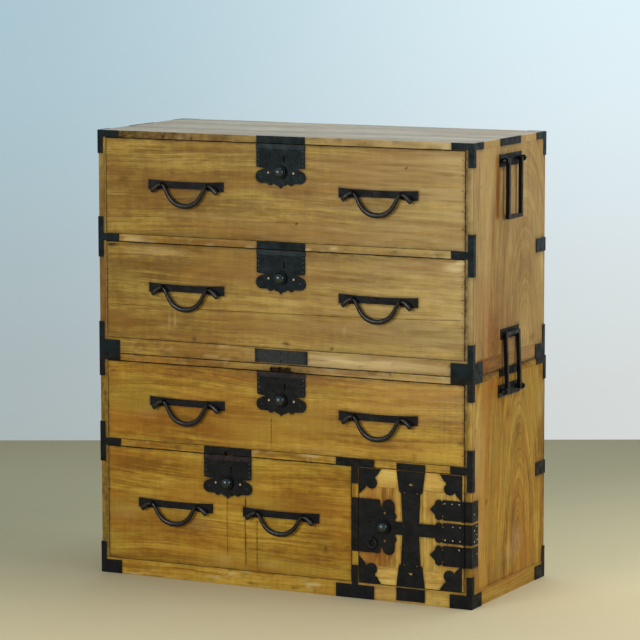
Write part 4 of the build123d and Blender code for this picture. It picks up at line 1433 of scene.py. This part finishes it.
def nails(name, places, facing, size, seed, finish, body, slot="sheet_iron", sides=12):
    """Add domed nail heads that face one way. Size is their radius and height in millimetres."""
    rng = random.Random(seed)
    made = bmesh.new()
    turn = Vector((0, 0, 1)).rotation_difference(facing).to_matrix().to_4x4()
    for place in places:
        radius = size[0] * MM * rng.uniform(0.88, 1.12)
        lift = size[1] * MM * rng.uniform(0.8, 1.15)
        rings = []
        for share, level in NAIL_RINGS:
            ring = []
            for side in range(sides):
                angle = 2 * math.pi * side / sides
                reach = share * radius
                off = Vector((math.cos(angle) * reach, math.sin(angle) * reach, level * lift))
                ring.append(made.verts.new(Vector(place) + (turn @ off)))
            rings.append(ring)
        top = made.verts.new(Vector(place) + (turn @ Vector((0, 0, lift))))
        for lower, upper in zip(rings, rings[1:]):
            for side in range(sides):
                after = (side + 1) % sides
                made.faces.new((lower[side], lower[after], upper[after], upper[side]))
        for side in range(sides):
            made.faces.new((rings[-1][side], rings[-1][(side + 1) % sides], top))
        made.faces.new(list(reversed(rings[0])))
    bmesh.ops.recalc_face_normals(made, faces=made.faces)
    mesh = finished_mesh(made, name)
    mesh.shade_smooth()
    put(name, mesh, finish, body, slot)


# places on each half of a lock plate, from its middle and from its top, in millimetres
LOCK_NAILS = ((54, 15), (54, 25), (54, 35), (54, 45), (47, 71))
LOCK_HOLES = ((30.5, 63),)
# places on each half of a pull plate, from its middle and upwards, in millimetres
PULL_NAILS = ((89, 5), (87, -6))


def lock_places(drawer, rows, y):
    """Places on both halves of a drawer's lock plate."""
    low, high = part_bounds(drawer + "_lock_plate")
    middle = (low.x + high.x) / 2
    return [(middle + side * off * MM, y, high.z - drop * MM) for side in (-1, 1) for off, drop in rows]


def lock_nails():
    """Nails of the drawers' lock plates."""
    for number, drawer in enumerate(DRAWERS):
        nails(drawer + "_lock_nails", lock_places(drawer, LOCK_NAILS, iron_front), FRONT, (1.5, 0.7),
              number, knob_iron, drawer)


def bare_spots():
    """Bare wood in the round holes of the drawers' lock plates."""
    for number, drawer in enumerate(DRAWERS):
        nails(drawer + "_bare_spots", lock_places(drawer, LOCK_HOLES, wood_front + 0.1 * MM), FRONT,
              (2.6, 0.5), 80 + number, bare_wood, drawer, "front_wood", 16)


def pull_nails():
    """Nails of the drawers' pull plates."""
    for number, drawer in enumerate(DRAWERS):
        places = [(x + side * off * MM, iron_front, z + up * MM)
                  for x, z in plate_middles(drawer) for side in (-1, 1) for off, up in PULL_NAILS]
        nails(drawer + "_pull_nails", places, FRONT, (1.6, 0.7), 20 + number, sheet_iron, drawer)


def on_iron(tree, place, facing):
    """True if a nail head at the place would lie wholly on the iron's outer face."""
    side = facing.orthogonal().normalized() * 3.2 * MM
    other = facing.cross(side)
    for shift in (Vector((0, 0, 0)), side, -side, other, -other):
        start = place + shift + facing * 2 * MM
        hit = tree.ray_cast(start, -facing, 4 * MM)
        if hit[0] is None or abs(hit[3] - 2 * MM) > 0.1 * MM:
            return False
    return True


def case_nails():
    """Nails at the corners, edges and middles of the case irons."""
    for level in ("upper", "lower"):
        node = level + "_irons"
        tree = surface_tree([node])
        boxes = solid_boxes(node)
        for word in ("front", "left", "right"):
            facing = DIRECTIONS[word]
            places = []
            for low, high in boxes:
                places += nail_places(tree, low, high, facing)
            nails(level + "_nails_" + word, places, facing, (1.7, 0.6), 40 + len(places), sheet_iron,
                  level + "_case")


def nail_places(tree, low, high, facing):
    """Places for nails on one iron's face that looks in the given direction."""
    flat = 1 if facing.y else 0
    across = 1 - flat
    surface = low[flat] if facing[flat] < 0 else high[flat]
    inset = 6 * MM
    rows = [(low[axis] + inset, (low[axis] + high[axis]) / 2, high[axis] - inset) for axis in (across, 2)]
    found = []
    for a, z in itertools.product(*rows):
        place = Vector((0, 0, z))
        place[flat] = surface
        place[across] = a
        if on_iron(tree, place, facing) and all((place - other).length > 9 * MM for other in found):
            found.append(place)
    return found


DOOR_NAILS = ((846, 225), (863, 225), (880, 225), (865, 176), (882, 176),
              (847, 146), (865, 146), (882, 146), (880, 127))
POST_NAILS = ((12, 205), (24, 178), (12, 170), (24, 160), (26, 149), (12, 146), (25, 118))


def bright_nails():
    """Rubbed nail heads on the door straps, on the hinge wraps and under the second drawer."""
    places = [(front_x(x), iron_front, z * MM) for x, z in DOOR_NAILS]
    nails("door_bright_nails", places, FRONT, (1.5, 0.7), 31, bright_iron, "door")
    places = [(right_x, side_y(y), z * MM) for y, z in POST_NAILS]
    nails("post_bright_nails", places, DIRECTIONS["right"], (1.5, 0.6), 32, bright_iron, "lower_case")
    place = (front_x(409), wood_front, 540 * MM)
    nails("drawer_2_bright_nail", [place], FRONT, (1.7, 0.8), 1, bright_iron, "drawer_2")


# dark nail heads in the ends of the drawers' fronts: x and z in millimetres
PEGS = (
    ((884, 958), (884, 925), (884, 893), (884, 850), (884, 812), (22, 930), (22, 850)),
    ((22, 727), (22, 712), (22, 686), (22, 674), (22, 660), (22, 640), (23, 600),
     (884, 712), (884, 690), (884, 662), (884, 634), (884, 604)),
    ((22, 440), (22, 380), (22, 330), (886, 440), (886, 400), (886, 330)),
    ((22, 250), (22, 190), (22, 120), (22, 60), (616, 60), (616, 110), (616, 170)),
)


def edge_pegs():
    """Dark nail heads in the ends of the drawers' fronts."""
    for number, (drawer, rows) in enumerate(zip(DRAWERS, PEGS)):
        places = [(front_x(x), wood_front + 0.1 * MM, z * MM) for x, z in rows]
        nails(drawer + "_pegs", places, FRONT, (1.4, 0.35), 60 + number, sheet_iron, drawer, sides=8)


LIP_HEIGHT = 9.5 * MM
LIP_PROUD = 0.9 * MM


def lock_lips():
    """Folded lip along the top of each drawer lock, with a worn, brace-shaped lower edge."""
    for number, drawer in enumerate(DRAWERS):
        low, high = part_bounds(drawer + "_lock_plate")
        top = high.z - 0.3 * MM
        xs = np.linspace(low.x + 1.2 * MM, high.x - 1.2 * MM, 31)
        ys = [iron_front - LIP_PROUD, iron_front + 0.3 * MM]
        zs = [top - LIP_HEIGHT, top - LIP_HEIGHT / 2, top]
        places, quads = lattice_box(list(xs), ys, zs)
        lower = places[:, 2] < top - 0.8 * LIP_HEIGHT
        share = 2 * (places[:, 0] - low.x) / (high.x - low.x) - 1
        brace = np.exp(-(share / 0.12) ** 2) * 1.8 - (1 - share ** 2) * 1.8
        places[:, 2] += lower * MM * (brace + 0.9 * waves(places, (60, 0.1, 0.1), number))
        places[:, 1] += (places[:, 1] < iron_front) * 0.15 * MM * waves(places, (90, 0.1, 90), 5 + number)
        mesh = bpy.data.meshes.new(drawer + "_lock_lip")
        mesh.from_pydata([tuple(place) for place in places], [], quads)
        # the upper locks' lips are paler and bluer: a painted highlight
        finish = upper_lip_sheen_iron if number < 2 else lip_iron
        soft_edge(put(drawer + "_lock_lip", mesh, finish, drawer, "sheet_iron"), 0.2 * MM)


# ---- carried nodes

def soft_edge(piece, width):
    """Round the sharp edges of a piece."""
    bevel = piece.modifiers.new("bevel", "BEVEL")
    bevel.width = width
    bevel.segments = 2
    bevel.limit_method = "ANGLE"
    bevel.angle_limit = math.radians(34)
    bevel.harden_normals = False
    weighted = piece.modifiers.new("weighted", "WEIGHTED_NORMAL")
    weighted.keep_sharp = False


def node_finish(name):
    """Finish and edge rounding, in millimetres, of a node that keeps its shape."""
    if name.endswith("_box"):
        return box_wood, 0.6
    if name.endswith("_knob"):
        return knob_iron, 0.3
    if "bail" in name:
        return bail_iron, 0.8
    if name.endswith(("_bolt", "_ring")) or name == "hinge_pins":
        return forged_iron, 0.3
    if name in ("drawer_1_lock_plate", "drawer_2_lock_plate", "upper_irons"):
        return upper_iron, 0.35
    return sheet_iron, 0.35


def finish_nodes():
    """Materials and soft edges of all nodes that still show."""
    for name, piece in nodes.items():
        if piece.hide_render:
            continue
        finish, width = node_finish(name)
        piece.data.materials.clear()
        piece.data.materials.append(finish)
        weld = piece.modifiers.new("weld", "WELD")
        weld.merge_threshold = 0.01 * MM
        soft_edge(piece, width * MM)


# ---- assembly

add_camera()
add_stage()
add_lights()
dress_drawers()
dress_sides()
dress_tops()
dress_rails()
dress_divider()
dress_door()
dress_pulls()
lock_nails()
bare_spots()
lock_lips()
pull_nails()
case_nails()
bright_nails()
edge_pegs()
finish_nodes()
